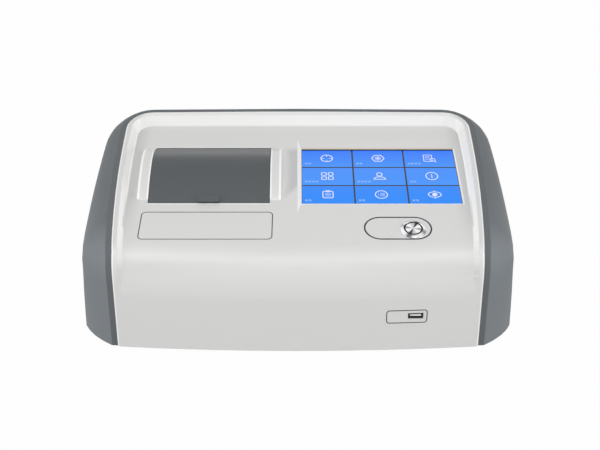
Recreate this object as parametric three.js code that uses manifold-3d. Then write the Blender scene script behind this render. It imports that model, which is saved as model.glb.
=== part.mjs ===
// Benchtop colorimeter: a wedge-shaped housing with a sloping control panel, a lidded
// sample compartment on the left, a touch display on the right and an optical bench inside.
// Millimetres, +Z up, +X to the user's right, +Y to the back.
// The origin is on the table, under the middle of the body.
import * as THREE from 'three';
import { mergeVertices } from 'three/addons/utils/BufferGeometryUtils.js';
import Module from 'manifold-3d';

const wasm = await Module();
wasm.setup();

// Body
const undersideHeight = 5.5;
const wallThickness = 2.6;
const seatGap = 0.3;
const seamGap = 0.4;
const seamStep = 1.5;
const cutOverrun = 6;
const mergeTolerance = 0.001;

// Side profile of the cover: a rim plane and a sunken panel plane, both bent into the front
const rimRise = 6.5;
const rimSlope = 15.8;
const rimBendRun = 19;
const rimBendDrop = 28;
const panelMidHeight = 127.4;
const panelSlope = 14.18;
const panelBendRun = 25;
const panelBendDrop = 46;
const frontLean = 2;
const frontBow = 8.4;
const bendSteps = 7;
const bodyStations = 16;

// Plan of the cover, up to the seam with the grey shell
const panelSideMargin = 18.9;
const seamWidestY = 45;
const seamSideRadius = 1351;
const seamStraightRun = 17.9;
const shoulderDepth = 34.1;
const seamBackBow = 2;
const seamCornerRadius = 26;
const cornerSteps = 7;
const sideSteps = 8;
const backSteps = 8;
const rimWidth = 5;
const rimWidening = 1.5;
const floorInset = 10.1;
const skirtDepth = 13;

// Grey shell: a flat strip beside the seam, a falling shoulder and a drafted wall
const shoulderWidth = 29.5;
const wallWidestY = -30;
const wallSideRadius = 1840;
const wallCornerRadius = 36;
const wallDraft = 1.2;
const wallFrontStart = -40;
const wallFrontEnd = 75;
const wallFrontRadius = 390;
const stripWidth = 5.6;
const stripWidening = 1.6;
const stripFall = 0.5;
const shoulderFallShare = 1.16;
const shoulderEase = 0.35;
const shoulderEaseLength = 60;
const shoulderBulgeRunShare = 0.7;
const shoulderBulgeFallShare = 0.43;
const shoulderSteps = 4;
const wallSpreadShare = 0.33;

// Sample compartment lid and the raised cheeks beside it
const lidSideMargin = 34.2;
const lidWidth = 115.4;
const lidBeforeDisplay = 1.75;
const lidLength = 86.5;
const lidRise = 11.9;
const lidThickness = 2.4;
const lidGap = 0.5;
const lidSwingRoom = 1.1;
const lidBore = 2.1;
const lidRimDrop = 1;
const lidSteps = 12;
const cheekWidth = 10.7;
const cheekSetback = 3.6;
const hingeRadius = 5.7;
const hingeAxisHeight = -2.4;
const pinRadius = 1.8;
const pinEngagement = 7.5;
const lugHeight = 6;
const tabWidth = 20.6;
const tabReach = 1.2;
const tabRun = 6.4;
const tabThickness = 1.6;
const tabHeight = 3.4;

// Display and the sunken pocket around it
const lidToDisplay = 30.6;
const displayWidth = 154.9;
const displayLength = 86.3;
const displayFromFront = 86.5;
const displayFromBack = 81.63;
const pocketDepth = 2.6;
const pocketLip = 0.6;
const pocketSide = 3.9;
const pocketBack = 14.8;
const pocketFront = 17;
const pocketOverShare = 1.04;
const glassThickness = 1.6;
const glassMargin = 4.5;
const lcdThickness = 4.2;
const lcdMargin = 2.5;
const bracketThickness = 1.5;
const bracketMargin = 8.5;
const bracketWindowShare = 0.8;
const bossRadius = 3.4;
const bossInset = 14;
const boardThickness = 1.6;
const displayBoardWidth = 118;
const displayBoardLength = 66;
const displayBoardStandoff = 4;
const ribbonFromBoardSide = 38;
const ribbonWidth = 18;
const ribbonThickness = 0.6;
const ribbonBow = 6;
const ribbonSteps = 12;

// Test button in the panel
const buttonFromDisplaySide = 51.7;
const buttonFromFront = 45.4;
const bezelRadius = 11.6;
const bezelHeight = 2.6;
const barrelRadius = 9.6;
const barrelLength = 20;
const capRadius = 8.45;
const capBore = 8.8;
const capProud = 3.4;
const capThickness = 4;
const capStemRadius = 2.6;
const capStemLength = 4.5;
const buttonTravel = 1.5;
const springRadius = 5;
const springWireRadius = 0.45;
const springTurns = 4;
const springSteps = 8;
const springSides = 5;
const nutFlats = 26;
const nutHeight = 3.4;
const switchHeight = 5;
const switchSize = 14;
const bezelChamfer = 1;
const bezelFloorThickness = 2;

// Sample tub under the lid
const tubWall = 2;
const tubFloor = 2.5;
const tubSideMargin = 3.8;
const tubFrontInset = 4.1;
const tubLength = 61;
const flangeThickness = 2;
const flangeMargin = 7;
const troughDepth = 12;
const sealWidth = 2;
const sealHeight = 1.3;
const windowRadius = 6.7;

// Optics: the light crosses the tub along X at this height and place
const beamHeight = 62;
const beamHeadroom = 12.3;
const benchClearance = 0.4;
const benchThickness = 3;
const benchFromSide = 18.5;
const benchPastLid = 75.4;
const benchBeforeTub = 9;
const benchBehindTub = 64;
const pillarRadius = 4.5;
const pillarInset = 9;
const cuvetteWidth = 12.8;
const holderLength = 54;
const holderWall = 4;
const holderHeight = 34;
const holderFlange = 28;
const holderFootLength = 74;
const holderFootThickness = 2.5;
const beamWindow = 9;
const stopLip = 2;
const clipThickness = 0.5;
const clipWidth = 8;
const clipRecess = 1.4;
const lampLength = 40;
const lampWidth = 34;
const lampHeight = 46;
const lampBore = 12;
const lampWall = 5;
const socketRadius = 6;
const lampTubGap = 5;
const lensRadius = 11.7;
const lensThickness = 3.5;
const lensBulge = 2.4;
const bulbRadius = 4.6;
const bulbLength = 20;
const socketLength = 9;
const sphereRadius = 24.6;
const sphereWall = 3.6;
const entryPortRadius = 6.5;
const exitPortRadius = 4.5;
const spectrometerWidth = 68;
const spectrometerDepth = 56;
const spectrometerWall = 3;
const mirrorThickness = 4;
const mirrorSize = 16;
const gratingSize = 14;
const mirrorSetback = 5;
const slitPlate = 14;
const slitThickness = 0.6;
const slitWidth = 0.8;
const cableRadius = 1.6;
const cableBend = 6;
const cableSteps = 30;

// Base, feet and boards
const basePlateThickness = 2;
const baseGap = 0.5;
const footRadius = 9;
const footTaper = 1;
const footBoreRadius = 2;
const footRecessRadius = 4.4;
const footRecessDepth = 2.6;
const footFromSide = 48.5;
const footFromFront = 39.9;
const footFromBack = 33.9;
const screwRadius = 1.6;
const screwHeadRadius = 3.4;
const screwHeadHeight = 1.8;
const screwReach = 5.6;
const footScrewLength = 7.4;
const baseFrontMargin = 15;
const baseNotchDepth = 23.4;
const baseSideDepth = 49.9;
const mainBoardGap = 10;
const mainBoardMargin = 17;
const mainBoardFromFront = 13.9;
const mainBoardLength = 146;
const standoffRadius = 3;
const standoffInset = 6;
const heatsinkSize = 30;
const heatsinkGap = 1;
const heatsinkBase = 3;
const heatsinkFins = 7;
const finThickness = 1.4;
const finHeight = 9;

// Front data port
const portFromSide = 69.3;
const portHeight = 41;
const portWidth = 13.6;
const portTall = 5.6;
const portLength = 14.5;
const portShell = 0.5;
const portTongue = 1.9;
const portSetback = 0.8;

// Rear connectors, on a steel plate behind a window in the back wall
const rearPlateFromSide = 108.5;
const rearPlateWidth = 96;
const rearPlateHeight = 34;
const rearPlateLow = 14;
const rearPlateThickness = 1.5;
const rearLedge = 4;
const rearBowRoom = 1.1;
const rearShelf = 24;
const rockerFromPlate = 30;
const rockerWidth = 19;
const rockerTall = 13;
const rockerDepth = 12;
const rockerThrow = 18;
const rockerProud = 1.6;
const rockerPinRadius = 1;
const rockerSink = 1.4;
const flangeProud = 1.5;
const flangeReach = 3;
const tongueShare = 0.6;
const jackFromPlate = 3;
const jackRadius = 5.5;
const jackBore = 3.2;
const jackPinRadius = 1;
const jackDepth = 12;
const usbbFromPlate = 24;
const usbbSize = 12;
const usbbDepth = 15;
const usbbWall = 1.2;
const ventCount = 11;
const ventWidth = 3;
const ventPitch = 6.5;
const ventTall = 26;
const ventFromSide = 118.5;
const ventLow = 22;

// Round pieces
const roundSides = 24;
const smallSides = 12;

const rad = THREE.MathUtils.degToRad;
const rimTan = Math.tan(rad(rimSlope));
const panelTan = Math.tan(rad(panelSlope));
const panelCos = Math.cos(rad(panelSlope));
const panelSin = Math.sin(rad(panelSlope));
const leanTan = Math.tan(rad(frontLean));
const draftTan = Math.tan(rad(wallDraft));
const point = (x, y, z) => new THREE.Vector3(x, y, z);

// Places that follow from the sizes above
const bodyDepth = displayFromFront + displayLength * panelCos + displayFromBack;
const frontY = -bodyDepth / 2;
const rimMidHeight = panelMidHeight + rimRise;
const panelWidth = lidSideMargin + lidWidth + lidToDisplay + displayWidth + panelSideMargin;
const seamHalfWidth = panelWidth / 2;
const wallHalfWidth = seamHalfWidth + shoulderWidth;
const displayRight = seamHalfWidth - panelSideMargin;
const displayLeft = displayRight - displayWidth;
const displayFrontS = (frontY + displayFromFront) / panelCos;
const displayBackS = displayFrontS + displayLength;
const displayMidS = (displayFrontS + displayBackS) / 2;
const lidLeft = lidSideMargin - seamHalfWidth;
const lidRight = lidLeft + lidWidth;
const lidFrontS = displayFrontS - lidBeforeDisplay;
const lidBackS = lidFrontS + lidLength;
const seamBackY = bodyDepth / 2 - shoulderDepth;
const buttonX = displayRight - buttonFromDisplaySide;
const buttonS = frontY + buttonFromFront;
const tubFrontY = lidFrontS * panelCos + tubFrontInset;
const tubBackY = tubFrontY + tubLength;
const beamY = (tubFrontY + tubBackY) / 2;
const benchTop = beamHeight - sphereRadius - benchClearance;
const benchLeft = benchFromSide - wallHalfWidth;
const benchRight = lidRight + benchPastLid;
const benchFrontY = tubFrontY - benchBeforeTub;
const benchBackY = tubBackY + benchBehindTub;
const footX = wallHalfWidth - footFromSide;
const footFrontY = frontY + footFromFront;
const footBackY = bodyDepth / 2 - footFromBack;
const baseFrontHalf = seamHalfWidth - baseFrontMargin;
const baseNotchY = frontY + baseNotchDepth;
const baseSideY = frontY + baseSideDepth;
const mainBoardLeft = benchRight + mainBoardGap;
const mainBoardRight = seamHalfWidth - mainBoardMargin;
const mainBoardFrontY = frontY + mainBoardFromFront;
const mainBoardBackY = mainBoardFrontY + mainBoardLength;
const ribbonX = mainBoardLeft + ribbonFromBoardSide;
const portX = seamHalfWidth - portFromSide;
const rearPlateX = wallHalfWidth - rearPlateFromSide;
const rockerX = rearPlateX + rockerFromPlate;
const jackX = rearPlateX + jackFromPlate;
const usbbX = rearPlateX - usbbFromPlate;
const ventX = ventFromSide - wallHalfWidth;

// The panel frame has its origin on the panel plane above the body's middle:
// x across, s up the slope and h square to the panel.
const panelFrame = new THREE.Matrix4().makeRotationX(rad(panelSlope));
panelFrame.setPosition(0, 0, panelMidHeight);
const onPanel = (x, s, h) => point(x, s, h).applyMatrix4(panelFrame);

// The rear frame lies in the drafted back wall: x across, y out of the wall, z up it.
const rearFrame = new THREE.Matrix4().makeRotationX(rad(wallDraft));
rearFrame.setPosition(0, bodyDepth / 2, undersideHeight);

// Solids and booleans

function closedFaces(geometry) {
  const bare = geometry.clone();
  bare.deleteAttribute('normal');
  bare.deleteAttribute('uv');
  const merged = mergeVertices(bare, mergeTolerance);
  const source = merged.index.array;
  const faces = [];
  for (let i = 0; i < source.length; i += 3) {
    const [a, b, c] = [source[i], source[i + 1], source[i + 2]];
    if (a !== b && b !== c && c !== a) {
      faces.push(a, b, c);
    }
  }
  merged.setIndex(faces);
  return merged;
}

function solidOf(geometry) {
  const merged = closedFaces(geometry);
  const vertProperties = new Float32Array(merged.attributes.position.array);
  const triVerts = new Uint32Array(merged.index.array);
  return new wasm.Manifold(new wasm.Mesh({ numProp: 3, vertProperties, triVerts }));
}

function geometryOf(solid) {
  const mesh = solid.getMesh();
  const geometry = new THREE.BufferGeometry();
  geometry.setAttribute('position', new THREE.BufferAttribute(new Float32Array(mesh.vertProperties), 3));
  geometry.setIndex(new THREE.BufferAttribute(new Uint32Array(mesh.triVerts), 1));
  return geometry;
}

const asSolid = (shape) => (shape instanceof THREE.BufferGeometry ? solidOf(shape) : shape);
const join = (first, ...more) => more.reduce((sum, next) => sum.add(asSolid(next)), asSolid(first));
const cut = (first, ...more) => more.reduce((rest, next) => rest.subtract(asSolid(next)), asSolid(first));
const common = (first, ...more) => more.reduce((rest, next) => rest.intersect(asSolid(next)), asSolid(first));

// A skin through rings of equally many points, with both ends capped
function loft(rings) {
  const count = rings[0].length;
  const positions = rings.flat().flatMap((p) => [p.x, p.y, p.z]);
  const faces = [];
  const addQuad = (a, b, c, d, shortAC) => {
    if (shortAC) {
      faces.push(a, b, c, a, c, d);
    } else {
      faces.push(a, b, d, b, c, d);
    }
  };
  for (let i = 0; i + 1 < rings.length; i += 1) {
    for (let j = 0; j < count; j += 1) {
      const next = (j + 1) % count;
      const corners = [rings[i][j], rings[i][next], rings[i + 1][next], rings[i + 1][j]];
      const shortAC = corners[0].distanceTo(corners[2]) <= corners[1].distanceTo(corners[3]);
      addQuad(i * count + j, i * count + next, (i + 1) * count + next, (i + 1) * count + j, shortAC);
    }
  }
  const last = (rings.length - 1) * count;
  capFaces(rings[0]).forEach(([a, b, c]) => faces.push(a, c, b));
  capFaces(rings[rings.length - 1]).forEach(([a, b, c]) => faces.push(last + a, last + b, last + c));
  const geometry = new THREE.BufferGeometry();
  geometry.setAttribute('position', new THREE.Float32BufferAttribute(positions, 3));
  geometry.setIndex(volumeOf(positions, faces) < 0 ? faces.reverse() : faces);
  return geometry;
}

// The triangles of a ring's cap, all turned the way that the ring runs
function capFaces(ring) {
  const normal = point(0, 0, 0);
  ring.forEach((p, i) => normal.add(p.clone().cross(ring[(i + 1) % ring.length])));
  normal.normalize();
  const across = ring[1].clone().sub(ring[0]).normalize();
  const along = normal.clone().cross(across).normalize();
  const flat = ring.map((p) => new THREE.Vector2(p.dot(across), p.dot(along)));
  const side = (a, b, c) => flat[b].clone().sub(flat[a]).cross(flat[c].clone().sub(flat[a]));
  const faces = THREE.ShapeUtils.triangulateShape(flat, []);
  return faces.map(([a, b, c]) => (side(a, b, c) < 0 ? [a, c, b] : [a, b, c]));
}

function volumeOf(positions, faces) {
  const at = (i) => point(positions[3 * i], positions[3 * i + 1], positions[3 * i + 2]);
  let total = 0;
  for (let i = 0; i < faces.length; i += 3) {
    total += at(faces[i]).dot(at(faces[i + 1]).cross(at(faces[i + 2])));
  }
  return total / 6;
}

function box(x0, x1, y0, y1, z0, z1) {
  const geometry = new THREE.BoxGeometry(x1 - x0, y1 - y0, z1 - z0);
  return geometry.translate((x0 + x1) / 2, (y0 + y1) / 2, (z0 + z1) / 2);
}

// A round rod or cone between two points
function rod(from, to, radius, endRadius = radius, sides = roundSides) {
  const axis = to.clone().sub(from);
  const geometry = new THREE.CylinderGeometry(endRadius, radius, axis.length(), sides);
  geometry.translate(0, axis.length() / 2, 0);
  geometry.applyQuaternion(new THREE.Quaternion().setFromUnitVectors(point(0, 1, 0), axis.normalize()));
  return geometry.translate(from.x, from.y, from.z);
}

const uprightRod = (x, y, z0, z1, radius, sides) => rod(point(x, y, z0), point(x, y, z1), radius, radius, sides);

function tube(from, to, radius, bore, sides = roundSides) {
  const over = to.clone().sub(from).setLength(cutOverrun);
  const hole = rod(from.clone().sub(over), to.clone().add(over), bore, bore, sides);
  return cut(rod(from, to, radius, radius, sides), hole);
}

// A revolved profile of [radius, height] pairs about the vertical
function turned(profile, sides = roundSides) {
  const outline = profile.map(([radius, height]) => new THREE.Vector2(radius, height));
  const geometry = new THREE.LatheGeometry([...outline, outline[0]], sides);
  geometry.rotateX(Math.PI / 2);
  return solidOf(facingOut(geometry));
}

function facingOut(geometry) {
  const merged = closedFaces(geometry);
  const faces = Array.from(merged.index.array);
  if (volumeOf(merged.attributes.position.array, faces) < 0) {
    faces.reverse();
    merged.setIndex(faces);
  }
  return merged;
}

// Outlines swept straight: along Z from an (x, y) outline, along X from a (y, z) outline
function prismZ(outline, z0, z1, holes = []) {
  const shape = new THREE.Shape(outline.map(([x, y]) => new THREE.Vector2(x, y)));
  shape.holes = holes.map((hole) => new THREE.Path(hole.map(([x, y]) => new THREE.Vector2(x, y))));
  return new THREE.ExtrudeGeometry(shape, { depth: z1 - z0, bevelEnabled: false }).translate(0, 0, z0);
}

function prismX(outline, x0, x1, holes = []) {
  const turn = new THREE.Matrix4().makeBasis(point(0, 1, 0), point(0, 0, 1), point(1, 0, 0));
  return prismZ(outline, x0, x1, holes).applyMatrix4(turn);
}

function prismY(outline, y0, y1) {
  const turn = new THREE.Matrix4().makeBasis(point(1, 0, 0), point(0, 0, 1), point(0, -1, 0));
  return prismZ(outline, -y1, -y0).applyMatrix4(turn);
}

const rectangle = (x0, x1, y0, y1) => [[x0, y0], [x1, y0], [x1, y1], [x0, y1]];

function roundedRectangle(x0, x1, y0, y1, radius, steps = 4) {
  const corners = [[x1 - radius, y1 - radius], [x0 + radius, y1 - radius], [x0 + radius, y0 + radius]];
  corners.push([x1 - radius, y0 + radius]);
  const outline = [];
  corners.forEach(([x, y], quarter) => {
    for (let i = 0; i <= steps; i += 1) {
      const angle = (quarter + i / steps) * Math.PI / 2;
      outline.push([x + radius * Math.cos(angle), y + radius * Math.sin(angle)]);
    }
  });
  return outline;
}

const placed = (shape, frame) => asSolid(shape).transform(frame.elements);
const mixed = (from, to, count, make) => Array.from({ length: count + 1 }, (_, i) => make(from + (to - from) * i / count));

// Side profile of the cover at a place across the body, as [y, z] from the back to the front.
// A surface is named by its height over the middle, its slope and how it bends into the front.
const rimSurface = { height: rimMidHeight, tan: rimTan, run: rimBendRun, drop: rimBendDrop };
const panelSurface = { height: panelMidHeight, tan: panelTan, run: panelBendRun, drop: panelBendDrop };

const bowAt = (x) => frontBow * (x / seamHalfWidth) ** 2;
const frontYAt = (x, z) => frontY + bowAt(x) + (z - undersideHeight) * leanTan;

function bendPoints(surface, x, inset, proud = 0) {
  const height = surface.height - inset * Math.hypot(1, surface.tan);
  const front = (z) => frontYAt(x, z) + (inset - proud) * Math.hypot(1, leanTan);
  const cornerY = (front(0) + height * leanTan) / (1 - surface.tan * leanTan);
  const corner = [cornerY, height + cornerY * surface.tan];
  const start = [cornerY + surface.run, height + (cornerY + surface.run) * surface.tan];
  const end = [front(corner[1] - surface.drop), corner[1] - surface.drop];
  const curve = new THREE.QuadraticBezierCurve(new THREE.Vector2(...start), new THREE.Vector2(...corner),
    new THREE.Vector2(...end));
  return curve.getPoints(bendSteps).map((p) => [p.x, p.y]);
}

// A solid under a surface, from well behind the body to the front, down to a given height
function underSurface(surface, inset, low, halfWidth, proud = 0) {
  const backY = bodyDepth / 2 + cutOverrun;
  const rings = mixed(-halfWidth, halfWidth, bodyStations, (x) => {
    const height = surface.height - inset * Math.hypot(1, surface.tan);
    const bend = bendPoints(surface, x, inset, proud);
    const foot = [frontYAt(x, low) + (inset - proud) * Math.hypot(1, leanTan), low];
    const profile = [[backY, low], [backY, height + backY * surface.tan], ...bend, foot];
    return profile.map(([y, z]) => point(x, y, z));
  });
  return solidOf(loft(rings));
}

// Plan of the seam, drawn in by an inset, from the front left round the back to the front right
const seamStraightY = frontY + seamStraightRun;
const seamSideAt = (y) => seamHalfWidth - (Math.max(y, seamStraightY) - seamWidestY) ** 2 / (2 * seamSideRadius);
const seamBackAt = (x) => seamBackY - seamBackBow * (x / seamHalfWidth) ** 2;
const seamCornerX = seamHalfWidth - seamCornerRadius;
const seamCornerY = seamBackAt(seamCornerX) - seamCornerRadius;

function seamHalfOutline(startY, inset) {
  const side = mixed(startY, seamCornerY, sideSteps, (y) => [-seamSideAt(y) + inset, y]).slice(0, -1);
  const corner = mixed(Math.PI, Math.PI / 2, cornerSteps, (angle) => [
    -seamCornerX + (seamCornerRadius - inset) * Math.cos(angle),
    seamCornerY + (seamCornerRadius - inset) * Math.sin(angle),
  ]);
  const back = mixed(-seamCornerX, 0, backSteps / 2, (x) => [x, seamBackAt(x) - inset]).slice(1);
  return [...side, ...corner, ...back];
}

const mirrored = (half) => [...half, ...half.slice(0, -1).reverse().map(([x, y]) => [-x, y])];
const seamOutline = (inset) => mirrored(seamHalfOutline(-bodyDepth / 2 - cutOverrun, inset));

// Points of the seam's left half with the way out of the body and the way into it
function seamStations() {
  const stations = [];
  const seamX = seamSideAt(-bodyDepth / 2 + frontBow);
  const bend = bendPoints(rimSurface, seamX, 0).reverse();
  const addProfile = ([y, z], into) => {
    stations.push({ seam: point(-seamSideAt(y), y, z), out: point(-1, 0, 0), into });
  };
  const low = undersideHeight - cutOverrun;
  mixed(low, bend[0][1], 3, (z) => addProfile([frontYAt(seamX, z), z], point(0, 1, -leanTan).normalize()));
  bend.slice(1, -1).forEach(([y, z], i) => {
    const dy = bend[i + 2][0] - bend[i][0];
    const dz = bend[i + 2][1] - bend[i][1];
    addProfile([y, z], point(0, dz, -dy).normalize());
  });
  seamHalfOutline(bend[bend.length - 1][0], 0).forEach(([x, y]) => {
    const plan = x < -seamCornerX ? point(-1, 0, 0) : point(0, 1, 0);
    if (y > seamCornerY && x < -seamCornerX) {
      plan.set(x + seamCornerX, y - seamCornerY, 0).normalize();
    }
    stations.push({
      seam: point(x, y, rimMidHeight + y * rimTan),
      out: point(plan.x, plan.y, plan.y * rimTan).normalize(),
      into: point(0, rimTan, -1).normalize(),
    });
  });
  return stations;
}

const placeAt = ({ seam, out, into }, across, deep) => seam.clone().addScaledVector(out, across).addScaledVector(into, deep);

// A solid swept along the seam: the ring of a station on the left half, mirrored for the right
function sweptAlongSeam(ringOf) {
  const left = seamStations().map(ringOf);
  const right = left.slice(0, -1).reverse().map((ring) => ring.map((p) => point(-p.x, p.y, p.z)));
  return solidOf(loft([...left, ...right]));
}

// How deep the panel surface lies under the rim surface at a station of the seam
function recessDepth({ seam, into }) {
  const bend = bendPoints(panelSurface, seam.x, 0, seatGap);
  const back = [bodyDepth, panelMidHeight + bodyDepth * panelTan];
  const line = [back, ...bend, [frontYAt(seam.x, -bodyDepth) - seatGap, -bodyDepth]];
  const depths = line.slice(1).map(([y, z], i) => {
    const [dy, dz] = [line[i][0] - y, line[i][1] - z];
    const turn = into.y * dz - into.z * dy;
    const along = (into.y * (seam.z - z) - into.z * (seam.y - y)) / turn;
    return along < 0 || along > 1 ? Infinity : ((y - seam.y) * dz - (z - seam.z) * dy) / turn;
  });
  return Math.max(Math.min(...depths), seatGap);
}

// The recess in the cover: above the panel surface, within walls that lean out from the
// floor's outline up to the rim
function recess(grow) {
  const ridge = sweptAlongSeam((station) => {
    const depth = recessDepth(station);
    const rim = -rimWidth - rimWidening * Math.max(station.out.y, 0) + grow;
    const lean = floorInset - rimWidth;
    const outside = [placeAt(station, seamCornerRadius / 2, -depth), placeAt(station, seamCornerRadius / 2, depth * 3)];
    return [...outside, placeAt(station, rim - lean * 2, depth * 2), placeAt(station, rim + lean, -depth)];
  });
  const floor = underSurface(panelSurface, grow, 0, wallHalfWidth + cutOverrun, seatGap);
  const body = box(-wallHalfWidth, wallHalfWidth, -bodyDepth, bodyDepth, undersideHeight + wallThickness, bodyDepth);
  return cut(common(body, prismZ(seamOutline(rimWidth / 2 - grow / 2), 0, bodyDepth)), floor, ridge);
}

// Lid profile in the panel frame, as [s, h] from the front edge to the hinge barrel
const hingeAxisS = lidBackS - hingeRadius;
const lidShoulderShare = 0.375;
const lidCrownShare = 0.72;
const lidFrontRiseShare = 0.92;
const lidCrownRiseShare = 1.76;
const lidEndShare = 0.04;

function lidCurve(offset) {
  const at = (share, rise) => new THREE.Vector2(lidFrontS + share * lidLength, rise * lidRise);
  const curve = new THREE.CubicBezierCurve(at(0, 0), at(lidShoulderShare, lidFrontRiseShare),
    at(lidCrownShare, lidCrownRiseShare), at(1, -lidEndShare));
  return mixed(0, 1, lidSteps, (u) => {
    const p = curve.getPoint(u);
    const t = curve.getTangent(u);
    return [p.x + t.y * offset, p.y - t.x * offset];
  });
}

// Top cover

const apertureLeft = lidLeft - lidGap;
const apertureRight = lidRight + lidGap;
const apertureFrontS = lidFrontS - lidGap;
const apertureBackS = lidBackS + lidSwingRoom;
const panelUnder = -wallThickness;
const padUnder = -pocketDepth - pocketLip;

function pocketCutter() {
  const ring = (share) => {
    const h = -pocketDepth + share * pocketDepth;
    const x0 = displayLeft - share * pocketSide;
    const x1 = displayRight + share * pocketSide;
    const s0 = displayFrontS - share * pocketFront;
    const s1 = displayBackS + share * pocketBack;
    return rectangle(x0, x1, s0, s1).map(([x, s]) => point(x, s, h));
  };
  const ramps = loft([ring(0), ring(pocketOverShare)]);
  const opening = box(displayLeft, displayRight, displayFrontS, displayBackS, padUnder - cutOverrun, 0);
  return join(ramps, opening);
}

// A cheek is a slice of the lid's own curve, from behind the lid's front edge to the hinge
function cheek(outerX, innerX) {
  const cheekFrontS = lidFrontS + cheekSetback;
  const curve = lidCurve(0).filter(([s]) => s > cheekFrontS);
  const outline = [[cheekFrontS, -seatGap], ...curve, [lidBackS, panelUnder], [cheekFrontS, panelUnder]];
  const body = prismX(outline, Math.min(outerX, innerX), Math.max(outerX, innerX));
  const lug = box(Math.min(outerX, innerX), Math.max(outerX, innerX),
    hingeAxisS - lugHeight, apertureBackS, hingeAxisHeight - lugHeight, panelUnder + seatGap);
  return join(body, lug);
}

const bossReach = glassMargin + bossRadius + lidGap;
const bossX = [displayLeft + bossInset, displayRight - bossInset];
const bossS = [displayFrontS - bossReach, displayBackS + bossReach];
const screwBosses = bossX.flatMap((x) => bossS.map((s) => [x, s]));
const glassTop = padUnder - seatGap;
const lcdTop = glassTop - glassThickness - seatGap;
const bracketTop = lcdTop - lcdThickness - seatGap;
const displayBoardTop = bracketTop - bracketThickness - displayBoardStandoff - seatGap;

function topCover() {
  const shell = common(
    underSurface(rimSurface, 0, undersideHeight, wallHalfWidth),
    prismZ(seamOutline(seamGap), undersideHeight, bodyDepth),
  );
  const inside = common(
    underSurface(rimSurface, wallThickness, -cutOverrun, wallHalfWidth),
    prismZ(seamOutline(seamGap + wallThickness), -cutOverrun, bodyDepth),
  );
  const belowSkirt = underSurface(rimSurface, skirtDepth, -cutOverrun, wallHalfWidth);
  const hollow = cut(join(inside, belowSkirt), recess(wallThickness));
  const pad = box(displayLeft - bracketMargin, displayRight + bracketMargin,
    displayFrontS - pocketFront, displayBackS + pocketBack, padUnder, panelUnder + seatGap);
  const bosses = screwBosses.map(([x, s]) => uprightRod(x, s, bracketTop + seatGap, panelUnder + seatGap,
    bossRadius, smallSides));
  const bossHoles = screwBosses.map(([x, s]) => uprightRod(x, s, bracketTop, padUnder, screwRadius + seatGap,
    smallSides));
  const aperture = box(apertureLeft, apertureRight, apertureFrontS, apertureBackS, -skirtDepth, lidRise * 2);
  const pinHole = rod(point(lidLeft - pinEngagement - seatGap, hingeAxisS, hingeAxisHeight),
    point(lidRight + pinEngagement + seatGap, hingeAxisS, hingeAxisHeight), pinRadius + seatGap);
  const buttonHole = uprightRod(buttonX, buttonS, -cutOverrun, cutOverrun, barrelRadius + seatGap);
  const portHole = box(portX - portWidth / 2 - seatGap, portX + portWidth / 2 + seatGap, -bodyDepth / 2,
    -bodyDepth / 2 + portLength, portHeight - portTall / 2 - seatGap, portHeight + portTall / 2 + seatGap);
  const panelSide = join(
    cheek(apertureLeft - cheekWidth, apertureLeft),
    cheek(apertureRight, apertureRight + cheekWidth),
    pad,
    ...bosses,
  );
  return cut(
    join(cut(shell, recess(0), hollow), placed(panelSide, panelFrame)),
    placed(join(pocketCutter(), aperture, pinHole, buttonHole, ...bossHoles), panelFrame),
    portHole,
  );
}

// Grey shell, swept along the seam from the front left round the back to the front right

// Half the width over the walls: they lean in with their height, and in front of the widest
// place they draw in further the higher they are
function wallHalfAt(y, z) {
  const raised = THREE.MathUtils.clamp((z - wallFrontStart) / (wallFrontEnd - wallFrontStart), 0, 1);
  const drawnIn = raised * Math.min(y - wallWidestY, 0) ** 2 / (2 * wallFrontRadius);
  return wallHalfWidth - (y - wallWidestY) ** 2 / (2 * wallSideRadius) - (z - undersideHeight) * draftTan - drawnIn;
}

// How far a point lies outside the wall
function wallDistance(p) {
  const drafted = (p.z - undersideHeight) * draftTan;
  const half = wallHalfAt(p.y, p.z);
  const back = bodyDepth / 2 - seamBackBow * (p.x / wallHalfWidth) ** 2 - drafted;
  const qx = Math.abs(p.x) - half + wallCornerRadius;
  const qy = p.y - back + wallCornerRadius;
  return Math.hypot(Math.max(qx, 0), Math.max(qy, 0)) + Math.min(Math.max(qx, qy), 0) - wallCornerRadius;
}

// The way out of the wall in plan, worked out from how the distance changes
function wallNormal(p) {
  const step = 0.01;
  const distance = wallDistance(p);
  const nx = wallDistance(point(p.x + step, p.y, p.z)) - distance;
  const ny = wallDistance(point(p.x, p.y + step, p.z)) - distance;
  return point(nx, ny, 0).normalize();
}

function toWall(start, towards) {
  let reach = 0;
  for (let i = 0; i < 30; i += 1) {
    reach -= wallDistance(towards(reach).add(start)) * 0.8;
  }
  return reach;
}

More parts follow.
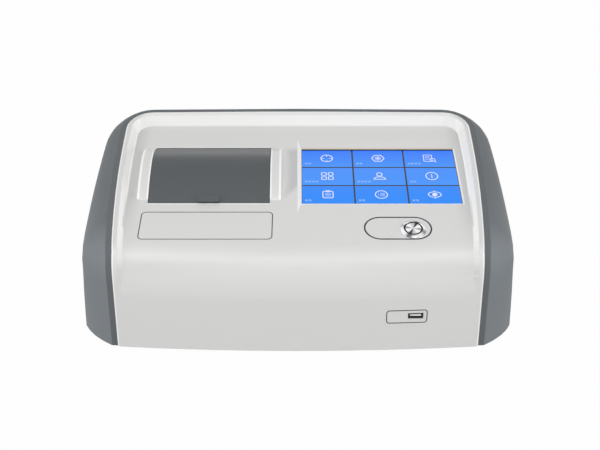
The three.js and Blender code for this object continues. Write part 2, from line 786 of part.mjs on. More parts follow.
// One ring of the grey shell: the outside from the seam down to the foot of the wall,
// then the inside back up, a wall's thickness in
function shellRing(station) {
  const { seam, out, into } = station;
  const place = (across, deep) => placeAt(station, across, deep);
  const strip = stripWidth + stripWidening * Math.max(out.y, 0);
  const edgeDeep = seamStep + stripFall;
  const edge = place(strip, edgeDeep);
  const lifted = THREE.MathUtils.clamp((seam.z - undersideHeight) / (wallFrontEnd - undersideHeight), 0, 1);
  const passed = THREE.MathUtils.clamp((seam.y - frontY - rimBendRun) / shoulderEaseLength, 0, 1);
  const fallShare = shoulderFallShare - shoulderEase * lifted * (1 - passed);
  const fall = (run) => out.clone().multiplyScalar(run).addScaledVector(into, run * fallShare);
  const run = toWall(edge, fall);
  const drop = run * fallShare;
  const shoulder = new THREE.QuadraticBezierCurve(new THREE.Vector2(strip, edgeDeep),
    new THREE.Vector2(strip + run * shoulderBulgeRunShare, edgeDeep + drop * shoulderBulgeFallShare),
    new THREE.Vector2(strip + run, edgeDeep + drop)).getPoints(shoulderSteps);
  const section = [new THREE.Vector2(0, seamStep), ...shoulder];
  const outer = section.map((p) => place(p.x, p.y));
  const inner = section.map((p, i) => {
    const before = section[Math.max(i - 1, 0)];
    const after = section[Math.min(i + 1, section.length - 1)];
    const along = after.clone().sub(before);
    if (i === section.length - 1) {
      along.normalize().add(new THREE.Vector2(0, 1));
    }
    along.normalize();
    const across = i === 0 ? seatGap : p.x - along.y * wallThickness;
    return place(across, p.y + along.x * wallThickness);
  });
  const shoulderFoot = outer[outer.length - 1];
  const low = undersideHeight - 2 * cutOverrun;
  const spread = wallSpreadShare * (shoulderFoot.z - low)
    * THREE.MathUtils.clamp((seamCornerY - shoulderFoot.y) / (seamCornerY + bodyDepth / 2), 0, 1);
  const foot = point(shoulderFoot.x, shoulderFoot.y + spread, low);
  const normal = wallNormal(foot);
  foot.addScaledVector(normal, -wallDistance(foot));
  const innerFoot = foot.clone().addScaledVector(normal, -wallThickness);
  return [...outer, foot, innerFoot, ...inner.reverse()];
}

function greyShell() {
  const above = box(-bodyDepth, bodyDepth, -bodyDepth, bodyDepth, undersideHeight, bodyDepth);
  const swept = common(sweptAlongSeam(shellRing), above);
  return cut(swept, placed(join(...ventCutters(), rearWindow()), rearFrame));
}

function ventCutters() {
  return mixed(0, ventCount - 1, ventCount - 1, (i) => {
    const x = ventX + (i - (ventCount - 1) / 2) * ventPitch;
    const outline = roundedRectangle(x - ventWidth / 2, x + ventWidth / 2, ventLow, ventLow + ventTall,
      ventWidth / 2 - seatGap / 2, 2);
    return solidOf(prismY(outline, -wallThickness - cutOverrun, cutOverrun));
  });
}

const rearWindow = () => box(rearPlateX - rearPlateWidth / 2 + rearLedge, rearPlateX + rearPlateWidth / 2 - rearLedge,
  -wallThickness - cutOverrun, cutOverrun, rearPlateLow + rearLedge, rearPlateLow + rearPlateHeight - rearLedge);


// Lid, in the panel frame

function lidBody() {
  const outer = lidCurve(0).filter(([s]) => s < hingeAxisS);
  const outline = [[lidFrontS, -lidRimDrop], ...outer, [hingeAxisS, -lidRimDrop]];
  const barrel = rod(point(lidLeft, hingeAxisS, hingeAxisHeight), point(lidRight, hingeAxisS, hingeAxisHeight),
    hingeRadius);
  const inner = lidCurve(lidThickness).filter(([s]) => s < hingeAxisS - hingeRadius - lidThickness);
  const underside = inner.map(([s, h]) => [s, Math.max(h, -lidRimDrop * 2)]);
  const cavity = [[lidFrontS + lidThickness, -lidRimDrop * 2], ...underside,
    [hingeAxisS - hingeRadius - lidThickness, -lidRimDrop * 2]];
  const tab = [
    [lidFrontS - tabReach, tabHeight - tabThickness],
    [lidFrontS - tabReach, tabHeight],
    [lidFrontS + tabRun, tabHeight + tabThickness / 2],
    [lidFrontS + tabRun * 1.5, tabHeight / 2],
    [lidFrontS + lidGap, lidGap],
  ];
  const tabLeft = lidLeft + lidWidth / 2 - tabWidth / 2;
  const bore = rod(point(lidLeft - cutOverrun, hingeAxisS, hingeAxisHeight),
    point(lidRight + cutOverrun, hingeAxisS, hingeAxisHeight), lidBore, lidBore, smallSides);
  return cut(
    join(prismX(outline, lidLeft, lidRight), barrel, prismX(tab, tabLeft, tabLeft + tabWidth)),
    prismX(cavity, lidLeft + lidThickness, lidRight - lidThickness),
    bore,
  );
}

const hingePin = () => rod(point(lidLeft - pinEngagement, hingeAxisS, hingeAxisHeight),
  point(lidRight + pinEngagement, hingeAxisS, hingeAxisHeight), pinRadius, pinRadius, smallSides);

const flangeTop = panelUnder - seatGap;
const sealTop = -lidRimDrop - seatGap;
const sealBackS = hingeAxisS - hingeRadius - lidThickness;

// The seal runs along both sides and the front, under the lid's rim
function lidSeal() {
  const outline = (edge) => rectangle(lidLeft + edge, lidRight - edge, lidFrontS + edge, sealBackS + edge);
  const low = flangeTop + seatGap;
  return cut(prismZ(outline(seatGap), low, sealTop), prismZ([
    [lidLeft + sealWidth, lidFrontS + sealWidth],
    [lidRight - sealWidth, lidFrontS + sealWidth],
    [lidRight - sealWidth, lidBackS],
    [lidLeft + sealWidth, lidBackS],
  ], low - cutOverrun, sealTop + cutOverrun));
}

// Sample tub: an upright well hung from a flange under the panel, with a trough for the
// lid's hinge barrel behind it
const tubLeft = lidLeft + tubSideMargin;
const tubRight = lidRight - tubSideMargin;
const tubBottom = benchTop + seatGap;
const tubInsideBottom = tubBottom + tubFloor;

function sampleTub() {
  const ceiling = placed(box(-bodyDepth, bodyDepth, -bodyDepth, bodyDepth, flangeTop, bodyDepth), panelFrame);
  const well = cut(box(tubLeft - tubWall, tubRight + tubWall, tubFrontY - tubWall, tubBackY + tubWall,
    tubBottom, bodyDepth / 2 + panelMidHeight), ceiling);
  const flange = box(apertureLeft - flangeMargin, apertureRight + flangeMargin, apertureFrontS - flangeMargin,
    apertureBackS + flangeMargin / 2, flangeTop - flangeThickness, flangeTop);
  const troughFrontS = hingeAxisS - hingeRadius - lidGap * 3;
  const troughBackS = apertureBackS + lidGap;
  const trough = box(lidLeft - seatGap / 2, lidRight + seatGap / 2, troughFrontS - tubWall * 2, troughBackS + tubWall,
    -troughDepth, flangeTop);
  const lugRoom = box(apertureLeft - cheekWidth - lidGap, lidLeft - seatGap / 2,
    hingeAxisS - lugHeight - lidGap, apertureBackS + flangeMargin, -troughDepth - cutOverrun, 0);
  const lugRoomRight = lugRoom.clone().translate(lidWidth + lidGap * 2 + cheekWidth + seatGap / 2, 0, 0);
  const hollow = box(tubLeft, tubRight, tubFrontY, tubBackY, tubInsideBottom, bodyDepth + panelMidHeight);
  const troughHollow = box(lidLeft - cutOverrun, lidRight + cutOverrun, troughFrontS, troughBackS,
    -troughDepth + tubWall, cutOverrun);
  const beamHoles = rod(point(tubLeft - cutOverrun, beamY, beamHeight),
    point(tubRight + cutOverrun, beamY, beamHeight), windowRadius + seatGap);
  return cut(
    join(well, placed(join(flange, trough), panelFrame)),
    hollow,
    placed(join(troughHollow, lugRoom, lugRoomRight), panelFrame),
    beamHoles,
  );
}

const tubWindow = (x) => rod(point(x, beamY, beamHeight), point(x + tubWall, beamY, beamHeight), windowRadius);

// Cuvette holder: a channel along the light, open to it at both ends
const holderMidX = (lidLeft + lidRight) / 2;
const holderBottom = tubInsideBottom + seatGap;
const channelFloor = holderBottom + holderFootThickness;
const channelHalf = cuvetteWidth / 2;

function cuvetteHolder() {
  const [x0, x1] = [holderMidX - holderLength / 2, holderMidX + holderLength / 2];
  const outside = channelHalf + holderWall;
  const body = box(x0, x1, beamY - outside, beamY + outside, holderBottom, holderBottom + holderHeight);
  const foot = box(holderMidX - holderFootLength / 2, holderMidX + holderFootLength / 2,
    beamY - holderFlange / 2, beamY + holderFlange / 2, holderBottom, channelFloor);
  const channel = box(x0 + stopLip, x1 - stopLip, beamY - channelHalf, beamY + channelHalf, channelFloor,
    bodyDepth);
  const beamSlot = box(x0 - cutOverrun, x1 + cutOverrun, beamY - beamWindow / 2, beamY + beamWindow / 2,
    beamHeight - beamWindow, bodyDepth);
  const clipSlot = box(holderMidX - clipWidth / 2 - seatGap, holderMidX + clipWidth / 2 + seatGap,
    beamY - channelHalf - clipRecess, beamY, channelFloor, bodyDepth);
  return cut(join(body, foot), channel, beamSlot, clipSlot);
}

function cuvetteClip() {
  const wallY = beamY - channelHalf - clipRecess + seatGap;
  const low = channelFloor + seatGap;
  const high = holderBottom + holderHeight - clipRecess;
  const bow = mixed(0, 1, 8, (u) => [wallY + Math.sin(Math.PI * u) * clipRecess * 1.6, low + u * (high - low)]);
  const back = bow.map(([y, z]) => [y + clipThickness, z]).reverse();
  return prismX([...bow, ...back], holderMidX - clipWidth / 2, holderMidX + clipWidth / 2);
}

// Lamp: a block bored along the light, with the bulb in a socket and a lens at the tub side
const lampRight = tubLeft - tubWall - lampTubGap;
const lampLeft = lampRight - lampLength;
const alongX = (profile, x) => turned(profile).rotate([0, 90, 0]).translate([x, beamY, beamHeight]);

function lampHousing() {
  const block = box(lampLeft, lampRight, beamY - lampWidth / 2, beamY + lampWidth / 2, benchTop + seatGap,
    benchTop + lampHeight);
  const bore = rod(point(lampLeft + lampWall, beamY, beamHeight),
    point(lampRight + cutOverrun, beamY, beamHeight), lampBore);
  const socketHole = rod(point(lampLeft - cutOverrun, beamY, beamHeight),
    point(lampRight, beamY, beamHeight), socketRadius + seatGap);
  return cut(block, bore, socketHole);
}

const socketEnd = lampLeft + socketLength;
const lampSocket = () => rod(point(lampLeft - seatGap, beamY, beamHeight), point(socketEnd, beamY, beamHeight),
  socketRadius);

function lampBulb() {
  const dome = mixed(0, Math.PI / 2, 3, (a) => [
    Math.cos(a) * bulbRadius,
    bulbLength - bulbRadius + Math.sin(a) * bulbRadius,
  ]);
  return alongX([[0, 0], [bulbRadius, 0], ...dome], socketEnd + seatGap);
}

function lampLens() {
  const face = mixed(0, 1, 3, (u) => [lensRadius * (1 - u), lensThickness + lensBulge * (1 - (1 - u) ** 2)]);
  return alongX([[0, 0], [lensRadius, 0], ...face], lampRight - lensThickness - lensBulge - seatGap);
}

// Bench plate with its legs
function opticalBench() {
  const plate = box(benchLeft, benchRight, benchFrontY, benchBackY, benchTop - benchThickness, benchTop);
  const legX = [benchLeft + pillarInset, benchRight - pillarInset];
  const legY = [benchFrontY + pillarInset, benchBackY - pillarInset];
  const legs = legX.flatMap((x) => legY.map((y) => uprightRod(x, y, baseTop + seatGap,
    benchTop - benchThickness / 2, pillarRadius, smallSides)));
  return join(plate, ...legs);
}

// Integrating sphere in two halves, with a port from the tub and one to the spectrometer
const sphereX = tubRight + tubWall + lidGap * 3 + sphereRadius;
const baseTop = undersideHeight + seatGap + basePlateThickness;

function sphereHalf(side) {
  const centre = [sphereX, beamY, benchTop + seatGap + sphereRadius];
  const ball = (radius) => solidOf(facingOut(new THREE.SphereGeometry(radius, roundSides - 4, smallSides)))
    .translate(centre);
  const keep = side < 0
    ? box(sphereX - sphereRadius * 2, sphereX - seatGap / 2, -bodyDepth, bodyDepth, 0, bodyDepth)
    : box(sphereX + seatGap / 2, sphereX + sphereRadius * 2, -bodyDepth, bodyDepth, 0, bodyDepth);
  const entry = rod(point(sphereX - sphereRadius * 2, beamY, beamHeight), point(sphereX, beamY, beamHeight),
    entryPortRadius);
  const exit = rod(point(sphereX, beamY, beamHeight), point(sphereX, beamY + sphereRadius * 2, beamHeight),
    exitPortRadius);
  return cut(common(cut(ball(sphereRadius), ball(sphereRadius - sphereWall)), keep), entry, exit);
}

// Spectrometer: a tray of mirrors and a grating under a flat lid
const spectrometerLeft = sphereX - spectrometerWidth / 3;
const spectrometerRight = spectrometerLeft + spectrometerWidth;
const spectrometerFront = beamY + sphereRadius + lidGap * 2;
const spectrometerBack = spectrometerFront + spectrometerDepth;
const spectrometerBottom = benchTop + seatGap;
const trayTop = beamHeight + beamHeadroom;
const trayFloor = spectrometerBottom + spectrometerWall;

function spectrometerTray() {
  const outside = box(spectrometerLeft, spectrometerRight, spectrometerFront, spectrometerBack, spectrometerBottom,
    trayTop);
  const inside = box(spectrometerLeft + spectrometerWall, spectrometerRight - spectrometerWall,
    spectrometerFront + spectrometerWall, spectrometerBack - spectrometerWall, trayFloor, bodyDepth);
  const port = rod(point(sphereX, spectrometerFront - cutOverrun, beamHeight),
    point(sphereX, spectrometerFront + cutOverrun, beamHeight), exitPortRadius);
  return cut(outside, inside, port);
}

const spectrometerLid = () => box(spectrometerLeft, spectrometerRight, spectrometerFront, spectrometerBack,
  trayTop + seatGap, trayTop + seatGap + spectrometerWall);

// A block that stands on the tray's floor, turned about the upright
function trayBlock(x, y, width, thickness, turnDegrees) {
  const height = trayTop - trayFloor - spectrometerWall;
  const geometry = new THREE.BoxGeometry(width, thickness, height);
  geometry.rotateZ(rad(turnDegrees));
  return geometry.translate(x, y, trayFloor + seatGap + height / 2);
}

function entranceSlit() {
  const y = spectrometerFront + spectrometerWall + seatGap;
  const plate = box(sphereX - slitPlate / 2, sphereX + slitPlate / 2, y, y + slitThickness, trayFloor + seatGap,
    trayTop - spectrometerWall);
  const slot = box(sphereX - slitWidth / 2, sphereX + slitWidth / 2, y - cutOverrun, y + cutOverrun,
    beamHeight - exitPortRadius / 2, beamHeight + exitPortRadius / 2);
  return cut(plate, slot);
}

// Base plate, its board posts and the feet

// The inside of the grey shell's front corner, with the plate's gap kept off it
function frontCorner() {
  const inside = shellRing(seamStations()[0]).slice(-shoulderSteps - 1, -1).reverse();
  const places = inside.map((p) => [p.x + baseGap * 2, p.y + baseGap]);
  return [[places[0][0], baseNotchY], ...places];
}

function basePlate() {
  const low = undersideHeight + seatGap;
  const inset = wallThickness + baseGap;
  const half = [[-baseFrontHalf, baseNotchY], ...frontCorner()];
  const side = (y) => -wallHalfAt(y, baseTop) + inset;
  const backY = bodyDepth / 2 - seamBackBow - inset;
  const cornerX = side(backY - wallCornerRadius) + wallCornerRadius;
  mixed(baseSideY, backY - wallCornerRadius, 5, (y) => half.push([side(y), y]));
  mixed(Math.PI, Math.PI / 2, 5, (a) => half.push([
    cornerX + Math.cos(a) * wallCornerRadius,
    backY - wallCornerRadius + Math.sin(a) * wallCornerRadius,
  ]));
  const front = mixed(baseFrontHalf, -baseFrontHalf, 8, (x) => [x, frontYAt(x, undersideHeight) + inset]);
  const outline = [...half, ...half.slice().reverse().map(([x, y]) => [-x, y]), ...front];
  const plate = prismZ(outline, low, baseTop);
  const posts = boardCorners.map(([x, y]) => uprightRod(x, y, low + basePlateThickness / 2,
    mainBoardTop - boardThickness - seatGap, standoffRadius, smallSides));
  const holes = footPlaces.map(([x, y]) => uprightRod(x, y, 0, baseTop + cutOverrun, footBoreRadius, smallSides));
  return cut(join(plate, ...posts), ...holes);
}

const footPlaces = [[-footX, footFrontY], [footX, footFrontY], [-footX, footBackY], [footX, footBackY]];

const foot = ([x, y]) => turned([
  [footBoreRadius, footRecessDepth],
  [footRecessRadius, footRecessDepth],
  [footRecessRadius, 0],
  [footRadius - footTaper, 0],
  [footRadius, footTaper],
  [footRadius, undersideHeight],
  [footBoreRadius, undersideHeight],
], smallSides).translate([x, y, 0]);

// A pan-headed screw whose head's underside is at the origin, its shank up +Z
const screw = (length) => turned([
  [0, -screwHeadHeight],
  [screwHeadRadius - screwHeadHeight / 3, -screwHeadHeight],
  [screwHeadRadius, -screwHeadHeight / 2],
  [screwHeadRadius, 0],
  [screwRadius, 0],
  [screwRadius, length],
  [0, length],
], smallSides - 4);

// Boards
const mainBoardTop = portHeight - portTall / 2 - seatGap;
const boardX = [mainBoardLeft + standoffInset, mainBoardRight - standoffInset];
const boardY = [mainBoardFrontY + standoffInset, mainBoardBackY - standoffInset];
const boardCorners = boardX.flatMap((x) => boardY.map((y) => [x, y]));
const mainBoard = () => box(mainBoardLeft, mainBoardRight, mainBoardFrontY, mainBoardBackY,
  mainBoardTop - boardThickness, mainBoardTop);

// The display's ribbon leaves its board here and bows forward by this much of its bow
const ribbonStart = onPanel(0, displayMidS - displayBoardLength / 3, displayBoardTop - boardThickness - seatGap);
const ribbonBowOut = 1.5;

function heatsink() {
  const midX = (mainBoardLeft + mainBoardRight) / 2;
  const half = heatsinkSize / 2;
  const midY = ribbonStart.y - ribbonBow * ribbonBowOut - heatsinkGap - half;
  const low = mainBoardTop + seatGap;
  const base = box(midX - half, midX + half, midY - half, midY + half, low, low + heatsinkBase);
  const fins = mixed(midX - half, midX + half - finThickness, heatsinkFins - 1,
    (x) => box(x, x + finThickness, midY - half, midY + half, low, low + heatsinkBase + finHeight));
  return join(base, ...fins);
}

// Front data port
const portFront = frontYAt(portX, portHeight) + portSetback;

function portShellBody() {
  const around = (margin, y0, y1) => box(portX - portWidth / 2 + margin, portX + portWidth / 2 - margin, y0, y1,
    portHeight - portTall / 2 + margin, portHeight + portTall / 2 - margin);
  return cut(around(0, portFront, portFront + portLength),
    around(portShell, portFront - cutOverrun, portFront + portLength - portShell));
}

const portTongueBody = () => box(portX - portWidth / 2 + portShell * 2, portX + portWidth / 2 - portShell * 2,
  portFront + portSetback, portFront + portLength - portShell - seatGap,
  portHeight + portTall / 2 - portShell - seatGap - portTongue, portHeight + portTall / 2 - portShell - seatGap);

// Display stack, in the panel frame
const aroundDisplay = (margin, high, thickness, marginS = margin) => box(displayLeft - margin, displayRight + margin,
  displayFrontS - marginS, displayBackS + marginS, high - thickness, high);

function displayBracket() {
  const plate = aroundDisplay(bracketMargin, bracketTop, bracketThickness, bossReach + bossRadius);
  const opening = aroundDisplay(-displayWidth * (1 - bracketWindowShare) / 2, bracketTop + cutOverrun,
    cutOverrun * 2 + bracketThickness, -displayLength * (1 - bracketWindowShare) / 2);
  const [postX, postS] = [displayBoardWidth / 2 - standoffInset, displayBoardLength / 2 - standoffInset];
  const midX = (displayLeft + displayRight) / 2;
  const bars = [-postX, postX].map((x) => box(midX + x - standoffInset, midX + x + standoffInset,
    displayFrontS, displayBackS, bracketTop - bracketThickness, bracketTop));
  const posts = [-postX, postX].flatMap((x) => [-postS, postS].map((s) => uprightRod(midX + x, displayMidS + s,
    bracketTop - bracketThickness - displayBoardStandoff, bracketTop - bracketThickness / 2, standoffRadius - 0.6,
    smallSides)));
  const holes = screwBosses.map(([x, s]) => uprightRod(x, s, bracketTop - cutOverrun, bracketTop + cutOverrun,
    screwRadius + seatGap, smallSides));
  return cut(join(cut(plate, opening), ...bars, ...posts), ...holes);
}

const displayBoard = () => box((displayLeft + displayRight - displayBoardWidth) / 2,
  (displayLeft + displayRight + displayBoardWidth) / 2, displayMidS - displayBoardLength / 2,
  displayMidS + displayBoardLength / 2, displayBoardTop - boardThickness, displayBoardTop);

// A flat cable in the YZ plane through [y, z] places
function ribbon(places, x0, x1) {
  const curve = new THREE.CatmullRomCurve3(places.map(([y, z]) => point(0, y, z)));
  const line = curve.getPoints(ribbonSteps);
  const side = (sign) => line.map((p, i) => {
    const along = curve.getTangent(i / ribbonSteps);
    return [p.y - along.z * sign * ribbonThickness / 2, p.z + along.y * sign * ribbonThickness / 2];
  });
  return prismX([...side(1), ...side(-1).reverse()], x0, x1);
}

function displayRibbon() {
  const start = ribbonStart;
  const end = mainBoardTop + seatGap;
  const places = [
    [start.y, start.z - ribbonThickness],
    [start.y - ribbonThickness * 2, start.z - ribbonBow],
    [start.y - ribbonBow * ribbonBowOut, (start.z + end) / 2],
    [start.y - ribbonThickness, end + ribbonBow],
    [start.y, end + ribbonThickness],
  ];
  return ribbon(places, ribbonX, ribbonX + ribbonWidth);
}

// Test button, in the panel frame with its axis at the origin

function hexagon(flats) {
  return mixed(0, 5, 5, (i) => [
    Math.cos(i * Math.PI / 3) * flats / Math.sqrt(3),
    Math.sin(i * Math.PI / 3) * flats / Math.sqrt(3),
  ]);
}

const bezelFloor = -barrelLength + bezelFloorThickness;
const buttonBezel = () => turned([
  [barrelRadius, -barrelLength],
  [barrelRadius, seatGap],
  [bezelRadius, seatGap],
  [bezelRadius, bezelHeight - bezelChamfer],
  [bezelRadius - bezelChamfer, bezelHeight],
  [capBore + bezelChamfer / 2, bezelHeight],
  [capBore, bezelHeight - bezelChamfer],
  [capBore, bezelFloor],
  [capStemRadius + lidGap, bezelFloor],
  [capStemRadius + lidGap, -barrelLength],
], roundSides);

const buttonNut = () => cut(
  prismZ(hexagon(nutFlats), panelUnder - seatGap - nutHeight, panelUnder - seatGap),
  uprightRod(0, 0, -barrelLength, cutOverrun, barrelRadius + seatGap),
);

const capUnder = capProud - capThickness;
const buttonCap = () => turned([
  [0, capProud],
  [capRadius - bezelChamfer / 2, capProud],
  [capRadius, capProud - bezelChamfer / 2],
  [capRadius, capUnder],
  [capStemRadius, capUnder],
  [capStemRadius, -barrelLength + buttonTravel],
  [0, -barrelLength + buttonTravel],
], roundSides);

function helicalSpring(low, high) {
  const steps = springTurns * springSteps;
  const axis = point(0, 0, 1);
  return loft(mixed(0, 1, steps, (u) => {
    const angle = u * springTurns * Math.PI * 2;
    const out = point(Math.cos(angle), Math.sin(angle), 0);
    const centre = out.clone().multiplyScalar(springRadius).setZ(low + u * (high - low));
    return mixed(0, springSides - 1, springSides - 1, (k) => {
      const turn = k / springSides * Math.PI * 2;
      const offset = out.clone().multiplyScalar(Math.cos(turn)).addScaledVector(axis, Math.sin(turn));
      return centre.clone().addScaledVector(offset, springWireRadius);
    });
  }));
}

const buttonSpring = () => helicalSpring(bezelFloor + seatGap + springWireRadius,
  capUnder - seatGap - springWireRadius);

const buttonSwitch = () => box(-switchSize / 2, switchSize / 2, -switchSize / 2, switchSize / 2,
  -barrelLength - seatGap - switchHeight, -barrelLength - seatGap);

// Rear connectors, in the frame of the back wall
const plateFace = -wallThickness - seatGap - rearBowRoom;
const connectorZ = rearPlateLow + rearPlateHeight / 2;
const shelfTop = connectorZ - usbbSize / 2 - boardThickness - seatGap * 2;
const inWall = (x, z, width, tall, y0, y1) => box(x - width / 2, x + width / 2, y0, y1, z - tall / 2, z + tall / 2);
const throughWall = (x, z, y0, y1, radius, sides) => rod(point(x, y0, z), point(x, y1, z), radius, radius, sides);

function rearPlate() {
  const plateBack = plateFace - rearPlateThickness;
  const plate = box(rearPlateX - rearPlateWidth / 2, rearPlateX + rearPlateWidth / 2, plateBack, plateFace,
    rearPlateLow, rearPlateLow + rearPlateHeight);
  const shelf = box(rearPlateX - rearPlateWidth / 2, rearPlateX + rearPlateWidth / 8, plateBack - rearShelf,
    plateFace, shelfTop - rearPlateThickness, shelfTop);
  const over = [plateBack - cutOverrun, cutOverrun];
  return cut(join(plate, shelf),
    inWall(rockerX, connectorZ, rockerWidth + lidGap, rockerTall + lidGap, ...over),
    inWall(usbbX, connectorZ, usbbSize + lidGap, usbbSize + lidGap, ...over),
    throughWall(jackX, connectorZ, ...over, jackRadius + seatGap));
}

const rockerPivotY = plateFace - rockerSink;
const rockerWall = 1.4;

function rockerFrame() {
  const body = inWall(rockerX, connectorZ, rockerWidth, rockerTall, plateFace - rockerDepth, plateFace + flangeProud);
  const flange = inWall(rockerX, connectorZ, rockerWidth + flangeReach, rockerTall + flangeReach,
    plateFace + seatGap, plateFace + flangeProud);
  const room = inWall(rockerX, connectorZ, rockerWidth - rockerWall * 2, rockerTall - rockerWall * 2,
    plateFace - rockerDepth + rockerWall, cutOverrun);
  const pinHoles = rod(point(rockerX - rockerWidth / 2 + rockerWall / 3, rockerPivotY, connectorZ),
    point(rockerX + rockerWidth / 2 - rockerWall / 3, rockerPivotY, connectorZ), rockerPinRadius + seatGap,
    rockerPinRadius + seatGap, smallSides);
  return cut(join(body, flange), room, pinHoles);
}

// The rocker at rest, with its upper half pressed in
function rocker() {
  const half = rockerTall / 2 - rockerWall - lidGap;
  const profile = [
    [rockerProud / 3, 0],
    [rockerProud, half],
    [-half / 3, half],
    [-half, half / 2],
    [-half, -half / 2],
    [-half / 3, -half],
    [rockerProud, -half],
  ];
  const angle = rad(rockerThrow / 2);
  const rested = profile.map(([y, z]) => [
    rockerPivotY + y * Math.cos(angle) - z * Math.sin(angle),
    connectorZ + y * Math.sin(angle) + z * Math.cos(angle),
  ]);
  const halfWidth = rockerWidth / 2 - rockerWall - lidGap;
  const pins = rod(point(rockerX - halfWidth - rockerWall / 2, rockerPivotY, connectorZ),
    point(rockerX + halfWidth + rockerWall / 2, rockerPivotY, connectorZ), rockerPinRadius, rockerPinRadius,
    smallSides);
  return join(prismX(rested, rockerX - halfWidth, rockerX + halfWidth), pins);
}

function powerJack() {
  const barrel = throughWall(jackX, connectorZ, plateFace - jackDepth, plateFace + flangeProud, jackRadius);
  const bore = throughWall(jackX, connectorZ, plateFace - jackDepth + rockerWall, cutOverrun, jackBore);
  const pin = throughWall(jackX, connectorZ, plateFace - jackDepth + rockerWall / 2, plateFace, jackPinRadius,
    smallSides);
  return join(cut(barrel, bore), pin);
}

function squarePort() {
  const inside = usbbSize - usbbWall * 2;
  const body = inWall(usbbX, connectorZ, usbbSize, usbbSize, plateFace - usbbDepth, plateFace + flangeProud);
  const room = inWall(usbbX, connectorZ, inside, inside, plateFace - usbbDepth + usbbWall, cutOverrun);
  const tongue = inWall(usbbX, connectorZ, inside * tongueShare, inside * tongueShare / 2,
    plateFace - usbbDepth + usbbWall / 2, plateFace);
  return join(cut(body, room), tongue);
}

const ioBoard = () => box(rearPlateX - rearPlateWidth / 2 + seatGap, rearPlateX + rearPlateWidth / 8,
  plateFace - rearPlateThickness - rearShelf, plateFace - rearPlateThickness - seatGap, shelfTop + seatGap,
  shelfTop + seatGap + boardThickness);

// Wires from the lamp's socket, under the bench and up to the main board
function lampCable() {
  const under = (baseTop + benchTop) / 2;
  const startX = lampLeft - seatGap * 3;
  const gapX = (benchRight + mainBoardLeft) / 2;
  const runY = beamY - cableBend * 2;
  const endX = mainBoardLeft + cableBend * 2;
  const places = [
    point(startX, beamY, beamHeight),
    point(startX - cableBend / 2, beamY, beamHeight),
    point(startX - cableBend, runY + cableBend / 2, beamHeight - cableBend * 2),
    point(startX - cableBend, runY, under + cableBend),
    point(startX + cableBend, runY, under),
    point(benchRight - cableBend, runY, under),
    point(gapX, runY, under + cableBend),
    point(gapX, runY, mainBoardTop),
    point(mainBoardLeft + cableBend / 2, runY, mainBoardTop + cableBend),
    point(endX, runY, mainBoardTop + cableBend),
    point(endX, runY, mainBoardTop + seatGap * 2),
  ];
  const curve = new THREE.CatmullRomCurve3(places, false, 'centripetal');
  const frames = curve.computeFrenetFrames(cableSteps, false);
  return loft(mixed(0, cableSteps, cableSteps, (i) => mixed(0, 4, 4, (k) => {
    const angle = k / 5 * Math.PI * 2;
    const centre = curve.getPointAt(i / cableSteps);
    centre.addScaledVector(frames.normals[i], Math.cos(angle) * cableRadius);
    return centre.addScaledVector(frames.binormals[i], Math.sin(angle) * cableRadius);
  })));
}

// Finishes, from the colours in the picture
const colour = (hex, roughness, metalness = 0) => new THREE.MeshStandardMaterial({ color: hex, roughness, metalness });
const finishes = {
  white: colour(0xe6e6e4, 0.45),
  grey: colour(0x74797b, 0.5),
  charcoal: colour(0x5b6062, 0.5),
  black: colour(0x17181a, 0.55),
  rubber: colour(0x1c1c1e, 0.85),
  steel: colour(0xb9bdc0, 0.28, 1),
  zinc: colour(0x9da3a8, 0.4, 1),
  aluminium: colour(0xa9adb0, 0.38, 1),
  anodised: colour(0x2b2d30, 0.45, 0.6),
  board: colour(0x1f5c3a, 0.55),
  glass: colour(0x10131a, 0.08),
  clear: colour(0xdfe8ec, 0.05),
  screen: colour(0x3377ff, 0.3),
  mirror: colour(0xd7dbe0, 0.06, 1),
  ceramic: colour(0xeeeae0, 0.6),
  cable: colour(0xb8bcc0, 0.5),
};

const instrument = new THREE.Group();
instrument.name = 'instrument';
const panelGroup = new THREE.Group();
panelGroup.name = 'panel_group';
panelGroup.applyMatrix4(panelFrame);
const buttonGroup = new THREE.Group();
buttonGroup.name = 'button_group';
buttonGroup.position.set(buttonX, buttonS, 0);
panelGroup.add(buttonGroup);
const rearGroup = new THREE.Group();
rearGroup.name = 'rear_group';
rearGroup.applyMatrix4(rearFrame);
instrument.add(panelGroup, rearGroup);

function add(name, shape, finish, parent = instrument) {
  const geometry = shape instanceof THREE.BufferGeometry ? closedFaces(shape) : geometryOf(shape);
  const mesh = new THREE.Mesh(geometry, finishes[finish]);
  mesh.name = name;
  parent.add(mesh);
}

add('top_cover', topCover(), 'white');
add('side_rear_shell', greyShell(), 'grey');
add('base_plate', basePlate(), 'zinc');
footPlaces.forEach((place, i) => {
  const footScrew = screw(footScrewLength).translate([...place, footRecessDepth - seatGap]);
  add(`foot_${i + 1}`, foot(place), 'rubber');
  add(`foot_screw_${i + 1}`, footScrew, 'steel');
});

add('sample_lid', lidBody(), 'charcoal', panelGroup);
add('lid_hinge_pin', hingePin(), 'steel', panelGroup);
add('lid_seal', lidSeal(), 'rubber', panelGroup);
add('sample_tub', sampleTub(), 'black');
add('window_left', tubWindow(tubLeft - tubWall), 'clear');
add('window_right', tubWindow(tubRight), 'clear');
add('cuvette_holder', cuvetteHolder(), 'anodised');
add('cuvette_clip', cuvetteClip(), 'steel');

